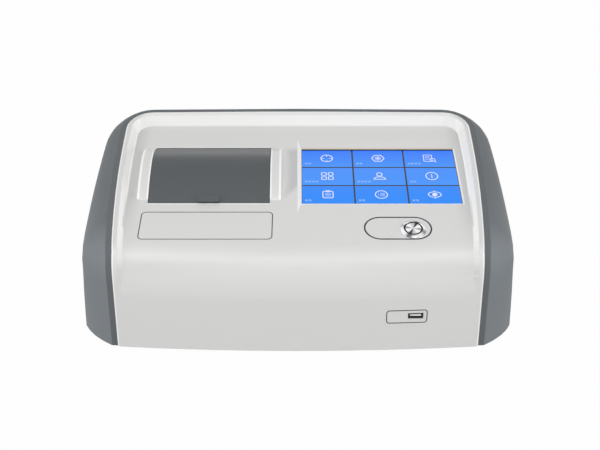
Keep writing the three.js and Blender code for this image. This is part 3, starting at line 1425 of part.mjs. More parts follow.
add('lamp_housing', lampHousing(), 'aluminium');
add('lamp_socket', lampSocket(), 'ceramic');
add('lamp_bulb', lampBulb(), 'clear');
add('lamp_lens', lampLens(), 'clear');
add('lamp_cable', lampCable(), 'cable');
add('optical_bench', opticalBench(), 'aluminium');
add('sphere_left', sphereHalf(-1), 'white');
add('sphere_right', sphereHalf(1), 'white');
add('spectrometer_tray', spectrometerTray(), 'anodised');
add('spectrometer_lid', spectrometerLid(), 'anodised');
add('entrance_slit', entranceSlit(), 'steel');
const mirrorY = spectrometerBack - spectrometerWall - mirrorSetback;
const innerFront = spectrometerFront + spectrometerWall + mirrorSetback;
add('collimating_mirror', trayBlock(sphereX + mirrorSize / 4, mirrorY, mirrorSize, mirrorThickness, -8), 'mirror');
add('grating', trayBlock(sphereX + mirrorSize, innerFront + mirrorThickness, gratingSize, mirrorThickness, 20),
  'mirror');
add('focusing_mirror', trayBlock(spectrometerRight - mirrorSize, mirrorY, mirrorSize, mirrorThickness, 8), 'mirror');
add('detector_array', trayBlock(spectrometerRight - mirrorSize, innerFront - mirrorSetback / 2, mirrorSize,
  mirrorThickness, 0), 'black');

add('main_board', mainBoard(), 'board');
add('processor_heatsink', heatsink(), 'anodised');
add('usb_port_shell', portShellBody(), 'steel');
add('usb_port_tongue', portTongueBody(), 'ceramic');

add('touch_glass', aroundDisplay(glassMargin, glassTop, glassThickness), 'glass', panelGroup);
add('display_panel', aroundDisplay(lcdMargin, lcdTop, lcdThickness), 'screen', panelGroup);
add('display_bracket', displayBracket(), 'zinc', panelGroup);
add('display_board', displayBoard(), 'board', panelGroup);
screwBosses.forEach(([x, s], i) => {
  const bracketScrew = screw(screwReach).translate([x, s, bracketTop - bracketThickness - seatGap]);
  add(`display_screw_${i + 1}`, bracketScrew, 'steel', panelGroup);
});
add('display_ribbon', displayRibbon(), 'cable');

add('button_bezel', buttonBezel(), 'steel', buttonGroup);
add('button_cap', buttonCap(), 'steel', buttonGroup);
add('button_nut', buttonNut(), 'zinc', buttonGroup);
add('button_spring', buttonSpring(), 'steel', buttonGroup);
add('button_switch', buttonSwitch(), 'black', buttonGroup);

add('rear_io_plate', rearPlate(), 'zinc', rearGroup);
add('rocker_frame', rockerFrame(), 'black', rearGroup);
add('power_rocker', rocker(), 'black', rearGroup);
add('power_jack', powerJack(), 'black', rearGroup);
add('square_port', squarePort(), 'steel', rearGroup);
add('io_board', ioBoard(), 'board', rearGroup);

export default instrument;
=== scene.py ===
import math
from contextlib import contextmanager
from functools import reduce

import bpy
from mathutils import Matrix, Vector


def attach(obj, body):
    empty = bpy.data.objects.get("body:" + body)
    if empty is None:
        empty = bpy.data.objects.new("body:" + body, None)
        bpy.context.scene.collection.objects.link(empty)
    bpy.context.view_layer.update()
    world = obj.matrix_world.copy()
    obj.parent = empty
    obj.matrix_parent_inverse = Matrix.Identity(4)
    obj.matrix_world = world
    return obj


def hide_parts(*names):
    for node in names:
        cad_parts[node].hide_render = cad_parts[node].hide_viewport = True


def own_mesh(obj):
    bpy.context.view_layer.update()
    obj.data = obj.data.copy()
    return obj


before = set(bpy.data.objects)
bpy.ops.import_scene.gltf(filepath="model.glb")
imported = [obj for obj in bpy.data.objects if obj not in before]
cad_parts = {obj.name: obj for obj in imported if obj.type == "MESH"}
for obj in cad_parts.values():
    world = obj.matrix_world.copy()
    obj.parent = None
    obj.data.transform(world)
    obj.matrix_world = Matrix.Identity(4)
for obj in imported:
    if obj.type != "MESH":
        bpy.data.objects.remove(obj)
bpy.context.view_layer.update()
print("frame loaded:", len(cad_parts), "nodes")

mm = 0.001

camera = {
    "place": (0, -0.8991, 0.5306),
    "tiltDown": 27.0,    # degrees under the horizon
    "pictureWidth": 600,    # in the picture's pixels, as the next two
    "focalLength": 1000,
    "middleColumn": 298,    # the column of the body's middle
    "sensor": 36,
    "near": 0.05, "far": 30,
}


def addObject(data, place, rotation):
    obj = bpy.data.objects.new(data.name, data)
    obj.location, obj.rotation_euler = place, rotation
    bpy.context.scene.collection.objects.link(obj)
    return obj


def placeCamera():
    data = bpy.data.cameras.new("camera")
    wide = camera["pictureWidth"]
    data.sensor_width = camera["sensor"]
    data.lens = camera["sensor"] * camera["focalLength"] / wide
    data.shift_x = (wide / 2 - camera["middleColumn"]) / wide
    data.clip_start, data.clip_end = camera["near"], camera["far"]
    rotation = (math.radians(90 - camera["tiltDown"]), 0, 0)
    bpy.context.scene.camera = addObject(data, camera["place"], rotation)


placeCamera()
print("camera placed")


def operators(operation):
    # an operator and its reflected form, each of which adds a Math node
    return (lambda self, other: self.shade.maths(operation, self, other),
            lambda self, other: self.shade.maths(operation, other, self))


# Shader maths: a value that a node gives, with sums written as sums
class Val:
    def __init__(self, shade, socket):
        self.shade, self.socket = shade, socket

    __add__, __radd__ = operators("ADD")
    __sub__, __rsub__ = operators("SUBTRACT")
    __mul__, __rmul__ = operators("MULTIPLY")
    __truediv__, __rtruediv__ = operators("DIVIDE")
    __pow__, __rpow__ = operators("POWER")
    __lt__, __gt__ = operators("LESS_THAN")


# The nodes of one material or world
class Shade:
    def __init__(self, name, kind="materials"):
        self.data = getattr(bpy.data, kind).new(name)
        self.data.use_nodes = True
        self.tree = self.data.node_tree
        self.tree.nodes.clear()
        self.place = self.node("ShaderNodeTexCoord", {}, {}, "Object")

    def node(self, kind, settings, values, output=0):
        # the settings are set first; a value is a number, a colour or what another node gives
        made = self.tree.nodes.new(kind)
        for key, value in settings.items():
            if key == "stops":
                ramp = made.color_ramp
                while len(ramp.elements) < len(value):
                    ramp.elements.new(0.5)
                for element, (where, colour) in zip(ramp.elements, value):
                    element.position = where
                    element.color = colour
            else:
                setattr(made, key, value)
        for key, value in values.items():
            if isinstance(value, Val):
                self.tree.links.new(value.socket, made.inputs[key])
            else:
                made.inputs[key].default_value = value
        return Val(self, made.outputs[output]) if made.outputs else None

    def maths(self, operation, *values):
        return self.node("ShaderNodeMath", {"operation": operation}, dict(enumerate(values)))

    def largest(self, *values):
        return reduce(lambda first, second: self.maths("MAXIMUM", first, second), values)

    def noise(self, scale, detail, rough=0.5, place=None):
        values = {"Vector": place or self.place, "Scale": scale, "Detail": detail, "Roughness": rough}
        return self.node("ShaderNodeTexNoise", {}, values, "Fac")

    def between(self, value, low, high, fromLow=0.0, fromHigh=1.0):
        values = {"Value": value, "From Min": fromLow, "From Max": fromHigh, "To Min": low, "To Max": high}
        return self.node("ShaderNodeMapRange", {}, values, "Result")

    def over(self, value, start, end, low=0.0, high=1.0):
        # runs from low to high while a length in metres runs between two in millimetres
        return self.between(value, low, high, start * mm, end * mm)

    def inside(self, value, low, high, soft=0.3):
        # 1 where a length in metres lies between two in millimetres, with soft edges
        return (self.over(value, low - soft / 2, low + soft / 2)
                * self.over(value, high - soft / 2, high + soft / 2, 1.0, 0.0))

    def blend(self, share, first, second):
        return self.node("ShaderNodeMix", {"data_type": "RGBA"}, {0: share, 6: first, 7: second}, 2)

    def bump(self, height, strength, distance):
        values = {"Height": height, "Strength": strength, "Distance": distance * mm}
        return self.node("ShaderNodeBump", {}, values, "Normal")

    def split(self, vector):
        parts = self.node("ShaderNodeSeparateXYZ", {}, {0: vector}).socket.node
        return [Val(self, socket) for socket in parts.outputs]

    def alongPanel(self, x=0, s=0):
        # lengths across, along and over the panel from a place on it
        back = Matrix.Rotation(-panel["slope"], 4, "X") @ Matrix.Translation(-onPanel(x, s))
        values = {"Vector": self.place, "Location": back.translation, "Rotation": (-panel["slope"], 0, 0)}
        return self.split(self.node("ShaderNodeMapping", {"vector_type": "POINT"}, values))

    def surface(self, **sockets):
        names = {"colour": "Base Color", "rough": "Roughness", "metal": "Metallic",
                 "normal": "Normal", "ior": "IOR", "alpha": "Alpha", "glow": "Emission Color",
                 "glowStrength": "Emission Strength", "specular": "Specular IOR Level"}
        values = {names[key]: value for key, value in sockets.items()}
        return self.output(self.node("ShaderNodeBsdfPrincipled", {}, values))

    def output(self, shader, kind="ShaderNodeOutputMaterial"):
        self.node(kind, {}, {"Surface": shader})
        return self.data


def rgb(hexText):
    # a screen colour such as "8a8d90" as the linear colour that shaders take, by the sRGB curve
    parts = [int(hexText[i:i + 2], 16) / 255 for i in (0, 2, 4)]
    return tuple(c / 12.92 if c <= 0.04045 else ((c + 0.055) / 1.055) ** 2.4 for c in parts) + (1,)


def shaded(colour, share):
    # a colour made darker or lighter by a share
    return tuple(min(c * share, 1) for c in colour[:3]) + (1,)


def toned(shade, value, base, tone):
    # a colour that a value carries from a little darker to a little lighter
    return shade.blend(value, shaded(base, 1 - tone), shaded(base, 1 + tone))


panel = {"slope": math.radians(14.18), "height": 127.4 * mm}    # the sloping control panel


def onPanel(x, s, h=0):
    # a place in the panel's own frame, given in millimetres
    cos, sin = math.cos(panel["slope"]), math.sin(panel["slope"])
    return Vector((x * mm, (s * cos - h * sin) * mm, panel["height"] + (s * sin + h * cos) * mm))


plastic = {
    "drift": 14, "driftDetail": 3, "tone": 0.04,
    "grainDetail": 2, "grainRough": 0.6, "grainDeep": 0.02,
    "glossier": 0.03, "duller": 0.04, "sparkle": 0.08,
}


def grained(shade, drift, grain, rough, sparkle, bump):
    # what moulded plastic has: a slow drift of tone and gloss, and fine spark-eroded grain
    drifting = shade.noise(drift, plastic["driftDetail"])
    fine = shade.noise(grain, plastic["grainDetail"], plastic["grainRough"])
    roughness = shade.between(drifting, *rough) + (fine - 0.5) * sparkle
    return drifting, roughness, shade.bump(fine, bump, plastic["grainDeep"])


def mouldedPlastic(name, colour, rough, bump, grainSize):
    shade = Shade(name)
    bounds = (rough - plastic["glossier"], rough + plastic["duller"])
    drift, roughness, normal = grained(
        shade, plastic["drift"], 1000 / grainSize, bounds, plastic["sparkle"], bump)
    colour = toned(shade, drift, rgb(colour), plastic["tone"])
    return shade.surface(colour=colour, rough=roughness, normal=normal)


metal = {
    "streaks": (60, 1400, 1400), "streakNoise": (1.0, 3, 0.6), "streakDeep": 0.03,
    "stainNoise": (25, 4, 0.6), "stainTone": 0.82, "stainRough": 0.1,
    "glossier": 0.06, "duller": 0.08,
}


def metalSurface(name, colour, rough, streak, share):
    # drawn or rolled metal: streaks along X and a little stain
    shade = Shade(name)
    along = shade.node("ShaderNodeMapping", {}, {"Vector": shade.place, "Scale": metal["streaks"]})
    lines = shade.noise(*metal["streakNoise"], along)
    stain = shade.noise(*metal["stainNoise"])
    base = rgb(colour)
    roughness = shade.between(lines, rough - metal["glossier"], rough + metal["duller"])
    return shade.surface(
        colour=shade.blend(stain, shaded(base, metal["stainTone"]), base), metal=share,
        rough=roughness + (stain - 0.5) * metal["stainRough"],
        normal=shade.bump(lines, streak, metal["streakDeep"]))


glass = {"smearNoise": (40, 3), "rough": (0.03, 0.09), "ior": 1.5}


def glassSurface(name, tint, alpha):
    shade = Shade(name)
    smear = shade.noise(*glass["smearNoise"])
    rough = shade.between(smear, *glass["rough"])
    return shade.surface(colour=tint, rough=rough, alpha=alpha, ior=glass["ior"])


circuit = {
    "green": "1f5c3a",
    "tracks": {"Scale": 260.0, "Mortar Size": 0.09, "Bias": 0.2}, "shift": 0.37,
    "trackTone": 1.7, "trackBump": 0.3, "trackDeep": 0.05,
    "pads": 420.0, "padSize": 0.16, "padColour": "c9c6ba", "rough": (0.35, 0.25),
}


def boardSurface():
    # green solder resist with copper tracks that show through as lighter lines
    shade = Shade("boardGreen")
    tracks = shade.node("ShaderNodeTexBrick", {"offset": circuit["shift"]},
                        {"Vector": shade.place, **circuit["tracks"]}, "Fac")
    cells = shade.node("ShaderNodeTexVoronoi", {},
                       {"Vector": shade.place, "Scale": circuit["pads"]}, "Distance")
    pads = cells < circuit["padSize"]
    green = rgb(circuit["green"])
    colour = shade.blend(tracks, green, shaded(green, circuit["trackTone"]))
    return shade.surface(colour=shade.blend(pads, colour, rgb(circuit["padColour"])),
                         rough=shade.between(pads, *circuit["rough"]),
                         normal=shade.bump(tracks, circuit["trackBump"], circuit["trackDeep"]))


# The cover's seam with the shell in plan, and what the panel carries, in millimetres
seam = {"halfWidth": 177, "widestY": 45, "sideRadius": 1351, "straightY": -108, "backY": 91.2,
        "corner": 26, "strip": 5.6}
rim = {"edge": 1.5, "top": 5.2, "foot": 9.9, "broader": 1.3, "shadeEnd": 25}
pocket = {"side": 3.9, "back": 14.8, "front": 17.0}    # the display's
opening = {"left": 3.2, "right": 158.1, "front": -40.65, "back": 45.65}    # the display's
aperture = {"left": -143.3, "right": -26.9, "front": -42.9, "back": 45.2}    # the lid's
cheekWidth = 10.7
# where the lid's housing keeps light off the panel beside it
housing = {"left": -150, "leftDeep": -160, "right": -16.5, "rightDeep": -7, "front": -38,
           "back": 42, "slant": 1.3, "soft": 9, "levels": (-0.3, 0.5, 0.2), "tone": 0.78}

# The cover's tones. Lengths in millimetres: two are the ends of a change, a third is how soft
coverLook = {
    "grained": {"drift": 12, "grain": 2000, "rough": (0.40, 0.46), "sparkle": 0.06, "bump": 0.05},
    # the two whites are painted highlights; the two greys are the plastic's own
    "edgeHighlight": "f8f8f7", "rimHighlight": "ededec", "rimGrey": "dadad9", "panelGrey": "dcdcdb",
    "soft": 0.8,    # of the rim's lines
    "crisp": 0.1,    # of the lines round the display
    "raised": (0.4, 1.2),    # over the panel, where the rim and the cheeks start
    "outside": -5,    # a line beyond the seam
    # the rim's inner wall is painted white, a painted highlight
    "broadens": (-75, -25),    # along the panel, the rim's wall
    "wallFront": -78, "wallFoot": -0.3, "wallInner": 30,
    "wallUp": (86, 107),    # over the floor
    "sides": (11, 18),    # in from the side, where the rim is a side's
    # the line along the rim's edge is a painted highlight
    "lineOuter": -2,
    "shadePower": 1.5, "shadeAlong": (-95, -40), "shadeTone": 0.76,
    # painted shade where the rim's step fades into the front
    "fadeIn": (4.5, 9.5, 2.0), "fadeUp": (77, 91, 12), "fadeShare": 0.5, "fadeTone": 0.86,
    # painted shade on the bend, dimming its highlight
    "bendAlong": (-122, -114, 8), "bendIn": (9.5, 400, 3.0), "bendTone": 0.93,
    # the cheeks' edges are painted highlights
    "cheeksFrom": (16, 18),    # in from the seam
    "cheekOuter": 2.2, "cheekInner": 1.5, "cheekSoft": 0.6,
    # painted highlights on the edges of the lid's opening
    "mouthLevels": (-0.6, 0.5, 0.1), "mouthFront": 1.4, "mouthBack": 1.6,
    # painted highlights round the display's opening and on the left slope of its pocket
    "lipWidth": 1.0, "lipLevels": (-3.4, -0.2, 0.1),
    "rampSide": 0.3, "rampTop": -0.1, "rampShare": 0.8,
    "driftShare": 0.04, "driftTone": 0.9,
}


def insideSeam(shade, x, y):
    # how far a place lies within the seam in plan, at the side and from its nearest point
    reach = shade.largest(y, seam["straightY"] * mm) - seam["widestY"] * mm
    side = seam["halfWidth"] * mm - reach * reach * (1 / (2 * seam["sideRadius"] * mm))
    fromSide = side - shade.maths("ABSOLUTE", x)
    overX = shade.largest(seam["corner"] * mm - fromSide, 0.0)
    overY = shade.largest(y - (seam["backY"] - seam["corner"]) * mm, 0.0)
    nearest = seam["corner"] * mm - (overX * overX + overY * overY) ** 0.5
    return fromSide, nearest


def rimMasks(shade, raised, fromSide, nearest, s, h, up):
    # the rim's wall and edge line, painted highlights, its flat top and painted shade at the wall's foot
    look, soft = coverLook, coverLook["soft"]
    broad = shade.over(s, *look["broadens"], 0.0, rim["broader"] * mm)
    lower = broad * (h > look["wallFoot"] * mm) * (1 / (rim["broader"] * mm))
    wall = shade.largest(raised, s < look["wallFront"] * mm, lower)
    wall = wall * shade.inside(nearest, rim["top"], look["wallInner"], soft)
    wall = wall * shade.inside(nearest - broad, look["outside"], rim["foot"], soft)
    wall = wall * shade.over(up, *look["wallUp"])
    rimTop = raised * shade.inside(nearest, look["outside"], rim["top"], soft)
    line = shade.inside(fromSide, look["lineOuter"], rim["edge"], soft)
    nearWall = shade.over(fromSide - broad, rim["foot"], rim["shadeEnd"], 1.0, 0.0)
    nearWall = nearWall ** look["shadePower"] * shade.over(s, *look["shadeAlong"])
    return wall, rimTop, line, nearWall


def lidMasks(shade, raised, nearest, x, s, h):
    # the cheeks, painted highlights on their edges and on the lid's opening, and painted shadow beside the
    # housing
    look, left, right = coverLook, aperture["left"], aperture["right"]
    cheeks = raised * shade.over(nearest, *look["cheeksFrom"])
    within = [shade.inside(x, left - wide, right + wide, look["cheekSoft"])
              for wide in (cheekWidth - look["cheekOuter"], look["cheekInner"])]
    ends = shade.largest(
        shade.inside(s, aperture["front"] - look["mouthFront"], aperture["front"]),
        shade.inside(s, aperture["back"], aperture["back"] + look["mouthBack"]))
    mouthHighlight = shade.inside(h, *look["mouthLevels"]) * shade.inside(x, left, right) * ends
    past = shade.over(x, housing["right"], housing["rightDeep"])
    before = shade.over(x, housing["left"], housing["leftDeep"])
    slant = s - shade.largest(x - housing["right"] * mm, 0.0) * housing["slant"]
    beside = shade.largest(past * (x < (opening["left"] - pocket["side"]) * mm), before)
    for along in (slant, s):
        beside = beside * shade.inside(along, housing["front"], housing["back"], housing["soft"])
    beside = beside * shade.inside(h, *housing["levels"]) * (1 - raised)
    return cheeks, cheeks * shade.largest(1 - within[0], within[1]), mouthHighlight, beside


def displayMasks(shade, x, s, h):
    # painted highlights on the lip round the display's opening and on the left slope of its pocket
    look, crisp = coverLook, coverLook["crisp"]
    left, right, front, back = opening.values()
    wide = look["lipWidth"]
    outer = shade.inside(x, left - wide, right + wide) * shade.inside(s, front - wide, back + wide)
    inner = shade.inside(x, left, right, crisp) * shade.inside(s, front, back, crisp)
    lipHighlight = outer * (1 - inner) * shade.inside(h, *look["lipLevels"])
    beyond = left * mm - x
    ramp = shade.inside(x, left - pocket["side"] - look["rampSide"], left, crisp)
    ramp = ramp * (s < beyond * (pocket["back"] / pocket["side"]) + back * mm)
    ramp = ramp * (s > front * mm - beyond * (pocket["front"] / pocket["side"]))
    return lipHighlight, ramp * (h < look["rampTop"] * mm)


def coverSurface():
    # a light grey panel, front and cheeks, with the rim's wall and the edges painted white as highlights,
    # and painted shade
    look = coverLook
    shade = Shade("coverWhite")
    drift, rough, normal = grained(shade, **look["grained"])
    flatX, flatY, up = shade.split(shade.place)
    x, s, h = shade.alongPanel()
    fromSide, nearest = insideSeam(shade, flatX, flatY)
    raised = shade.over(h, *look["raised"])
    wall, rimTop, line, nearWall = rimMasks(shade, raised, fromSide, nearest, s, h, up)
    cheeks, cheekHighlight, mouthHighlight, besideLid = lidMasks(shade, raised, nearest, x, s, h)
    lipHighlight, ramp = displayMasks(shade, x, s, h)
    atSide = shade.over(fromSide, *look["sides"], 1.0, 0.0)
    rimFadeShade = shade.inside(fromSide, *look["fadeIn"]) * shade.inside(up, *look["fadeUp"])
    bendShade = shade.inside(s, *look["bendAlong"]) * shade.inside(fromSide, *look["bendIn"])
    edgeHighlight, rimHighlight, rimGrey, panelGrey = (
        rgb(look[key]) for key in ("edgeHighlight", "rimHighlight", "rimGrey", "panelGrey"))
    layers = (
        # painted shade: at the rim's foot, beside the lid's housing, where the rim fades and on the bend
        (nearWall, shaded(panelGrey, look["shadeTone"])),
        (besideLid, shaded(panelGrey, housing["tone"])),
        (rimFadeShade * look["fadeShare"], shaded(panelGrey, look["fadeTone"])),
        (bendShade, shaded(panelGrey, look["bendTone"])),
        # the rim's top painted lighter at the back, a painted highlight
        (rimTop, shade.blend(atSide, rimHighlight, rimGrey)),
        (cheeks, rimGrey),
        # painted highlights: the pocket's slope, the rim's wall, its edge line, the cheeks' and the
        # openings' edges
        (ramp * look["rampShare"], edgeHighlight),
        (wall * (1 - atSide), rimHighlight),
        (shade.largest(wall * atSide, line, cheekHighlight, mouthHighlight, lipHighlight), edgeHighlight),
        (drift * look["driftShare"], shaded(panelGrey, look["driftTone"])),
    )
    colour = panelGrey
    for mask, tone in layers:
        colour = shade.blend(mask, colour, tone)
    return shade.surface(colour=colour, rough=rough, normal=normal)


shellLook = {
    "base": "81868a",
    "grained": {"drift": 14, "grain": 1700, "rough": (0.50, 0.56), "sparkle": 0.08, "bump": 0.12},
    "tone": 0.03, "specular": 0.12,
    # painted shade: a darker strip beside the seam, with less of it at the top
    "stripInner": 5, "stripSoft": 1.0, "stripTone": 0.62,
    "stripFades": (128, 95), "stripLeast": 0.62,    # over the floor, at the top
    # painted shade on the shoulders, deepest at the back and less towards the front
    "shoulder": (62, 122),    # over the floor
    "forward": (-66, -94), "shoulderTones": (0.65, 0.98),    # from the back to the front
}


def shellSurface():
    # the moulded grey shell, with painted shade on its shoulders and on a strip beside the seam
    look = shellLook
    shade = Shade("shellGrey")
    drift, rough, normal = grained(shade, **look["grained"])
    x, y, z = shade.split(shade.place)
    nearest = insideSeam(shade, x, y)[1]
    strip = shade.inside(nearest, -seam["strip"], look["stripInner"], look["stripSoft"])
    strip = strip * shade.over(z, *look["stripFades"], look["stripLeast"], 1.0)
    base = rgb(look["base"])
    forward = shade.over(y, *look["forward"])
    shoulder = shade.blend(forward, *(shaded(base, tone) for tone in look["shoulderTones"]))
    plain = toned(shade, drift, base, look["tone"])
    plain = shade.blend(shade.over(z, *look["shoulder"]), plain, shoulder)
    return shade.surface(colour=shade.blend(strip, plain, shaded(base, look["stripTone"])),
                         rough=rough, normal=normal, specular=look["specular"])


lidLook = {
    "base": "4d5153",
    "grained": {"drift": 14, "grain": 2000, "rough": (0.32, 0.38), "sparkle": 0.08, "bump": 0.1},
    "tone": 0.03, "specular": 0.38,
    # painted light in front and painted shade towards the hinge
    "front": (-42, 8), "frontShare": 0.3, "frontTone": 1.4,    # along the panel
    "hinge": (12, 40), "hingePower": 1.6, "hingeTone": 0.7, "hingeRough": 0.08,
}


def lidSurface():
    # charcoal plastic, painted a little lighter in front and painted darker towards the hinge to dim its
    # reflection
    look = lidLook
    shade = Shade("lidCharcoal")
    drift, rough, normal = grained(shade, **look["grained"])
    s = shade.alongPanel()[1]
    hinge = shade.over(s, *look["hinge"]) ** look["hingePower"]
    front = shade.over(s, *look["front"], 1.0, 0.0) * look["frontShare"]
    base = rgb(look["base"])
    colour = toned(shade, drift, base, look["tone"])
    colour = shade.blend(front, colour, shaded(base, look["frontTone"]))
    return shade.surface(colour=shade.blend(hinge, colour, shaded(base, look["hingeTone"])),
                         rough=rough + hinge * look["hingeRough"],
                         normal=normal, specular=look["specular"])


button = {
    "x": 106.4, "s": -80.8, "sides": 96,
    "bezel": 12.0, "foot": 0.5, "rise": 1.8, "shoulder": 9.3, "bore": 8.75, "barrel": 9.6,
    "depth": 20, "bottom": 2, "hole": 3.0, "bezelEdge": 0.25,
    "cap": 8.45, "face": 7.3, "capTop": 1.7, "capThickness": 2.3, "chamfer": 0.5,
    "stem": 2.6, "stemLength": 17.9, "capEdge": 0.15,
}
turned = {
    # painted dark wedges in the painted reflection: the middle in degrees, how narrow, how strong on the
    # face and on the cone
    "wedges": ((62, 26, 1, 1), (168, 26, 0.75, 0), (95, 12, 0.4, 0.4), (-25, 18, 0, 0.8), (86, 10, 0, 0.3)),
    # the painted reflection runs from the dark colour to the bright one
    "dark": "1d1e21", "bright": "fafafc", "metal": 0.85, "rough": (0.34, 0.22),
    "coneWithin": 0.4, "cone": "d6d8de", "coneShare": 0.12,
    "grooveBeyond": 0.1, "grooveSoft": 0.4, "grooveShade": "26272a",
    "ring": 0.25, "ringBump": 0.12, "ringDeep": 0.01,
}


def turnedSteel():
    # a faced button: a painted reflection of its turning marks, in wedges of light round the axis
    bore = button["bore"]
    shade = Shade("turnedSteel")
    x, s, h = shade.alongPanel(button["x"], button["s"])
    angle = shade.maths("ARCTAN2", s, x)
    radius = (x * x + s * s) ** 0.5
    cone = shade.over(radius, bore, bore + turned["coneWithin"])
    paintedSheen = 1
    for degrees, sharpness, onFace, onCone in turned["wedges"]:
        swing = shade.maths("ABSOLUTE", shade.maths("COSINE", angle - math.radians(degrees)))
        paintedSheen = paintedSheen - swing ** sharpness * shade.between(cone, onFace, onCone)
    # painted shade in the groove round the cap
    grooveShade = shade.inside(radius, button["face"], bore + turned["grooveBeyond"], turned["grooveSoft"])
    colour = shade.blend(shade.largest(paintedSheen, 0.0), rgb(turned["dark"]), rgb(turned["bright"]))
    colour = shade.blend(cone * turned["coneShare"], colour, rgb(turned["cone"]))
    colour = shade.blend(grooveShade, colour, rgb(turned["grooveShade"]))
    rings = shade.maths("SINE", radius * (math.tau / (turned["ring"] * mm)))
    return shade.surface(colour=colour, metal=turned["metal"],
                         rough=shade.between(paintedSheen, *turned["rough"]),
                         normal=shade.bump(rings, turned["ringBump"], turned["ringDeep"]))


display = {
    "height": -3.46,    # the glass's top face
    "columns": 3, "rows": 3, "separator": 1.6, "thickness": 0.04,
    "icon": 12.6, "iconUp": 0.6, "iconLift": 0.05, "line": 0.95,
    "gasket": 0.35, "gasketTall": 0.7, "stripEdge": 0.06,
    "backGasket": 2.2, "backFrame": 1.1,    # how tall both stand at the back
}
screenLook = {
    # the blue from the foot of the front row to the head of the back row
    "stops": ((0.0, "2c8eff"), (0.30, "388cff"), (0.36, "4a98ff"), (0.62, "4d94ff"),
              (0.68, "4b96ff"), (1.0, "3d7eff")),
    "foot": "48a0ff", "footHigh": 0.16, "footShare": 0.35,
    "cast": "6aa8ff", "castNoise": (9, 2), "castShare": 0.12,
    "glass": "081428", "rough": 0.25, "specular": 0.1, "glow": 0.93,
}


def screenSurface():
    # the lit tiles: blue that runs to cyan at the foot of each row, palest in the middle row
    look = screenLook
    shade = Shade("screenTiles")
    s = shade.alongPanel()[1]
    tall = (opening["back"] - opening["front"]) / display["rows"]
    upTile = shade.maths("FRACT", (s - opening["front"] * mm) / (tall * mm))
    lit = shade.node("ShaderNodeValToRGB",
                     {"stops": [(where, rgb(colour)) for where, colour in look["stops"]]},
                     {"Fac": shade.over(s, opening["front"], opening["back"])})
    foot = shade.between(upTile, look["footShare"], 0.0, 0.0, look["footHigh"])
    lit = shade.blend(foot, lit, rgb(look["foot"]))
    cast = shade.noise(*look["castNoise"]) * look["castShare"]
    return shade.surface(colour=rgb(look["glass"]), rough=look["rough"],
                         glow=shade.blend(cast, lit, rgb(look["cast"])),
                         glowStrength=look["glow"], specular=look["specular"])


# Each one's name, colour, roughness, strength of grain and size of grain in millimetres
plastics = {
    "black": ("plasticBlack", "1a1b1d", 0.5, 0.15, 0.5),
    "rubber": ("rubberBlack", "1d1d1f", 0.75, 0.3, 0.8),
    "ceramic": ("ceramic", "edeae2", 0.5, 0.1, 0.4),
    "sphere": ("sphereWhite", "edeae2", 0.7, 0.25, 0.3),
    "sleeve": ("cableSleeve", "b7babd", 0.55, 0.1, 0.5),
    "gasket": ("gasketFoam", "ecd0a4", 0.7, 0.2, 0.4),
    "ink": ("printedInk", "1f2122", 0.5, 0.05, 0.3),
}
# Each one's name, colour, roughness, strength of streaks and share of metal
metals = {
    "steel": ("steel", "c9cbcd", 0.25, 0.1, 1.0),
    "zinc": ("zincPlate", "a9adb1", 0.42, 0.15, 1.0),
    "aluminium": ("milledAluminium", "b4b7ba", 0.4, 0.2, 1.0),
    "anodised": ("anodisedBlack", "2c2e31", 0.45, 0.1, 0.7),
    "mirror": ("mirror", "d9dce0", 0.08, 0.0, 1.0),
}
# Each one's name, tint and alpha
glasses = {
    "clear": ("clearGlass", (0.92, 0.96, 0.97, 1), 0.25),
    "coverGlass": ("coverGlass", (0.02, 0.02, 0.03, 1), 1.0),
}
materials = {
    "cover": coverSurface(), "shell": shellSurface(), "lid": lidSurface(),
    "turned": turnedSteel(), "board": boardSurface(), "tiles": screenSurface(),
}
for make, looks in ((mouldedPlastic, plastics), (metalSurface, metals), (glassSurface, glasses)):
    materials.update({key: make(*look) for key, look in looks.items()})
print("materials made:", len(materials))

finishNodes = {
    "cover": "top_cover", "shell": "side_rear_shell", "lid": "sample_lid",
    "turned": "button_bezel button_cap",
    "black": "sample_tub detector_array usb_port_shell display_panel button_switch rocker_frame "
             "power_rocker power_jack",
    "rubber": "lid_seal foot_1 foot_2 foot_3 foot_4",
    "steel": "lid_hinge_pin cuvette_clip entrance_slit button_spring square_port",
    "zinc": "base_plate display_bracket button_nut rear_io_plate",
    "aluminium": "lamp_housing optical_bench",
    "anodised": "cuvette_holder spectrometer_tray spectrometer_lid processor_heatsink",
    "mirror": "collimating_mirror grating focusing_mirror",
    "board": "main_board display_board io_board",
    "ceramic": "lamp_socket usb_port_tongue", "sphere": "sphere_left sphere_right",
    "clear": "window_left window_right lamp_bulb lamp_lens", "coverGlass": "touch_glass",
    "sleeve": "lamp_cable display_ribbon",
}
nodeFinish = {name: finish for finish, names in finishNodes.items() for name in names.split()}


def dress(obj, material):
    obj.data.materials.clear()
    obj.data.materials.append(material)


def finishOf(nodeName):
    # the screws, which aren't listed, are steel
    return materials[nodeFinish.get(nodeName, "steel")]


for nodeName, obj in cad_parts.items():
    dress(obj, finishOf(nodeName))
print("CAD nodes dressed")


def activate(obj):
    bpy.ops.object.select_all(action="DESELECT")
    obj.select_set(True)
    bpy.context.view_layer.objects.active = obj


@contextmanager
def editing(obj, whole=True):
    # edit mode, with everything selected or else what was, then object mode
    activate(obj)
    bpy.ops.object.mode_set(mode="EDIT")
    if whole:
        bpy.ops.mesh.select_all(action="SELECT")
    yield
    bpy.ops.object.mode_set(mode="OBJECT")


def modify(obj, kind, **settings):
    # adds a modifier with these settings and applies it
    modifier = obj.modifiers.new(kind.lower(), kind)
    for key, value in settings.items():
        setattr(modifier, key, value)
    activate(obj)
    bpy.ops.object.modifier_apply(modifier=modifier.name)


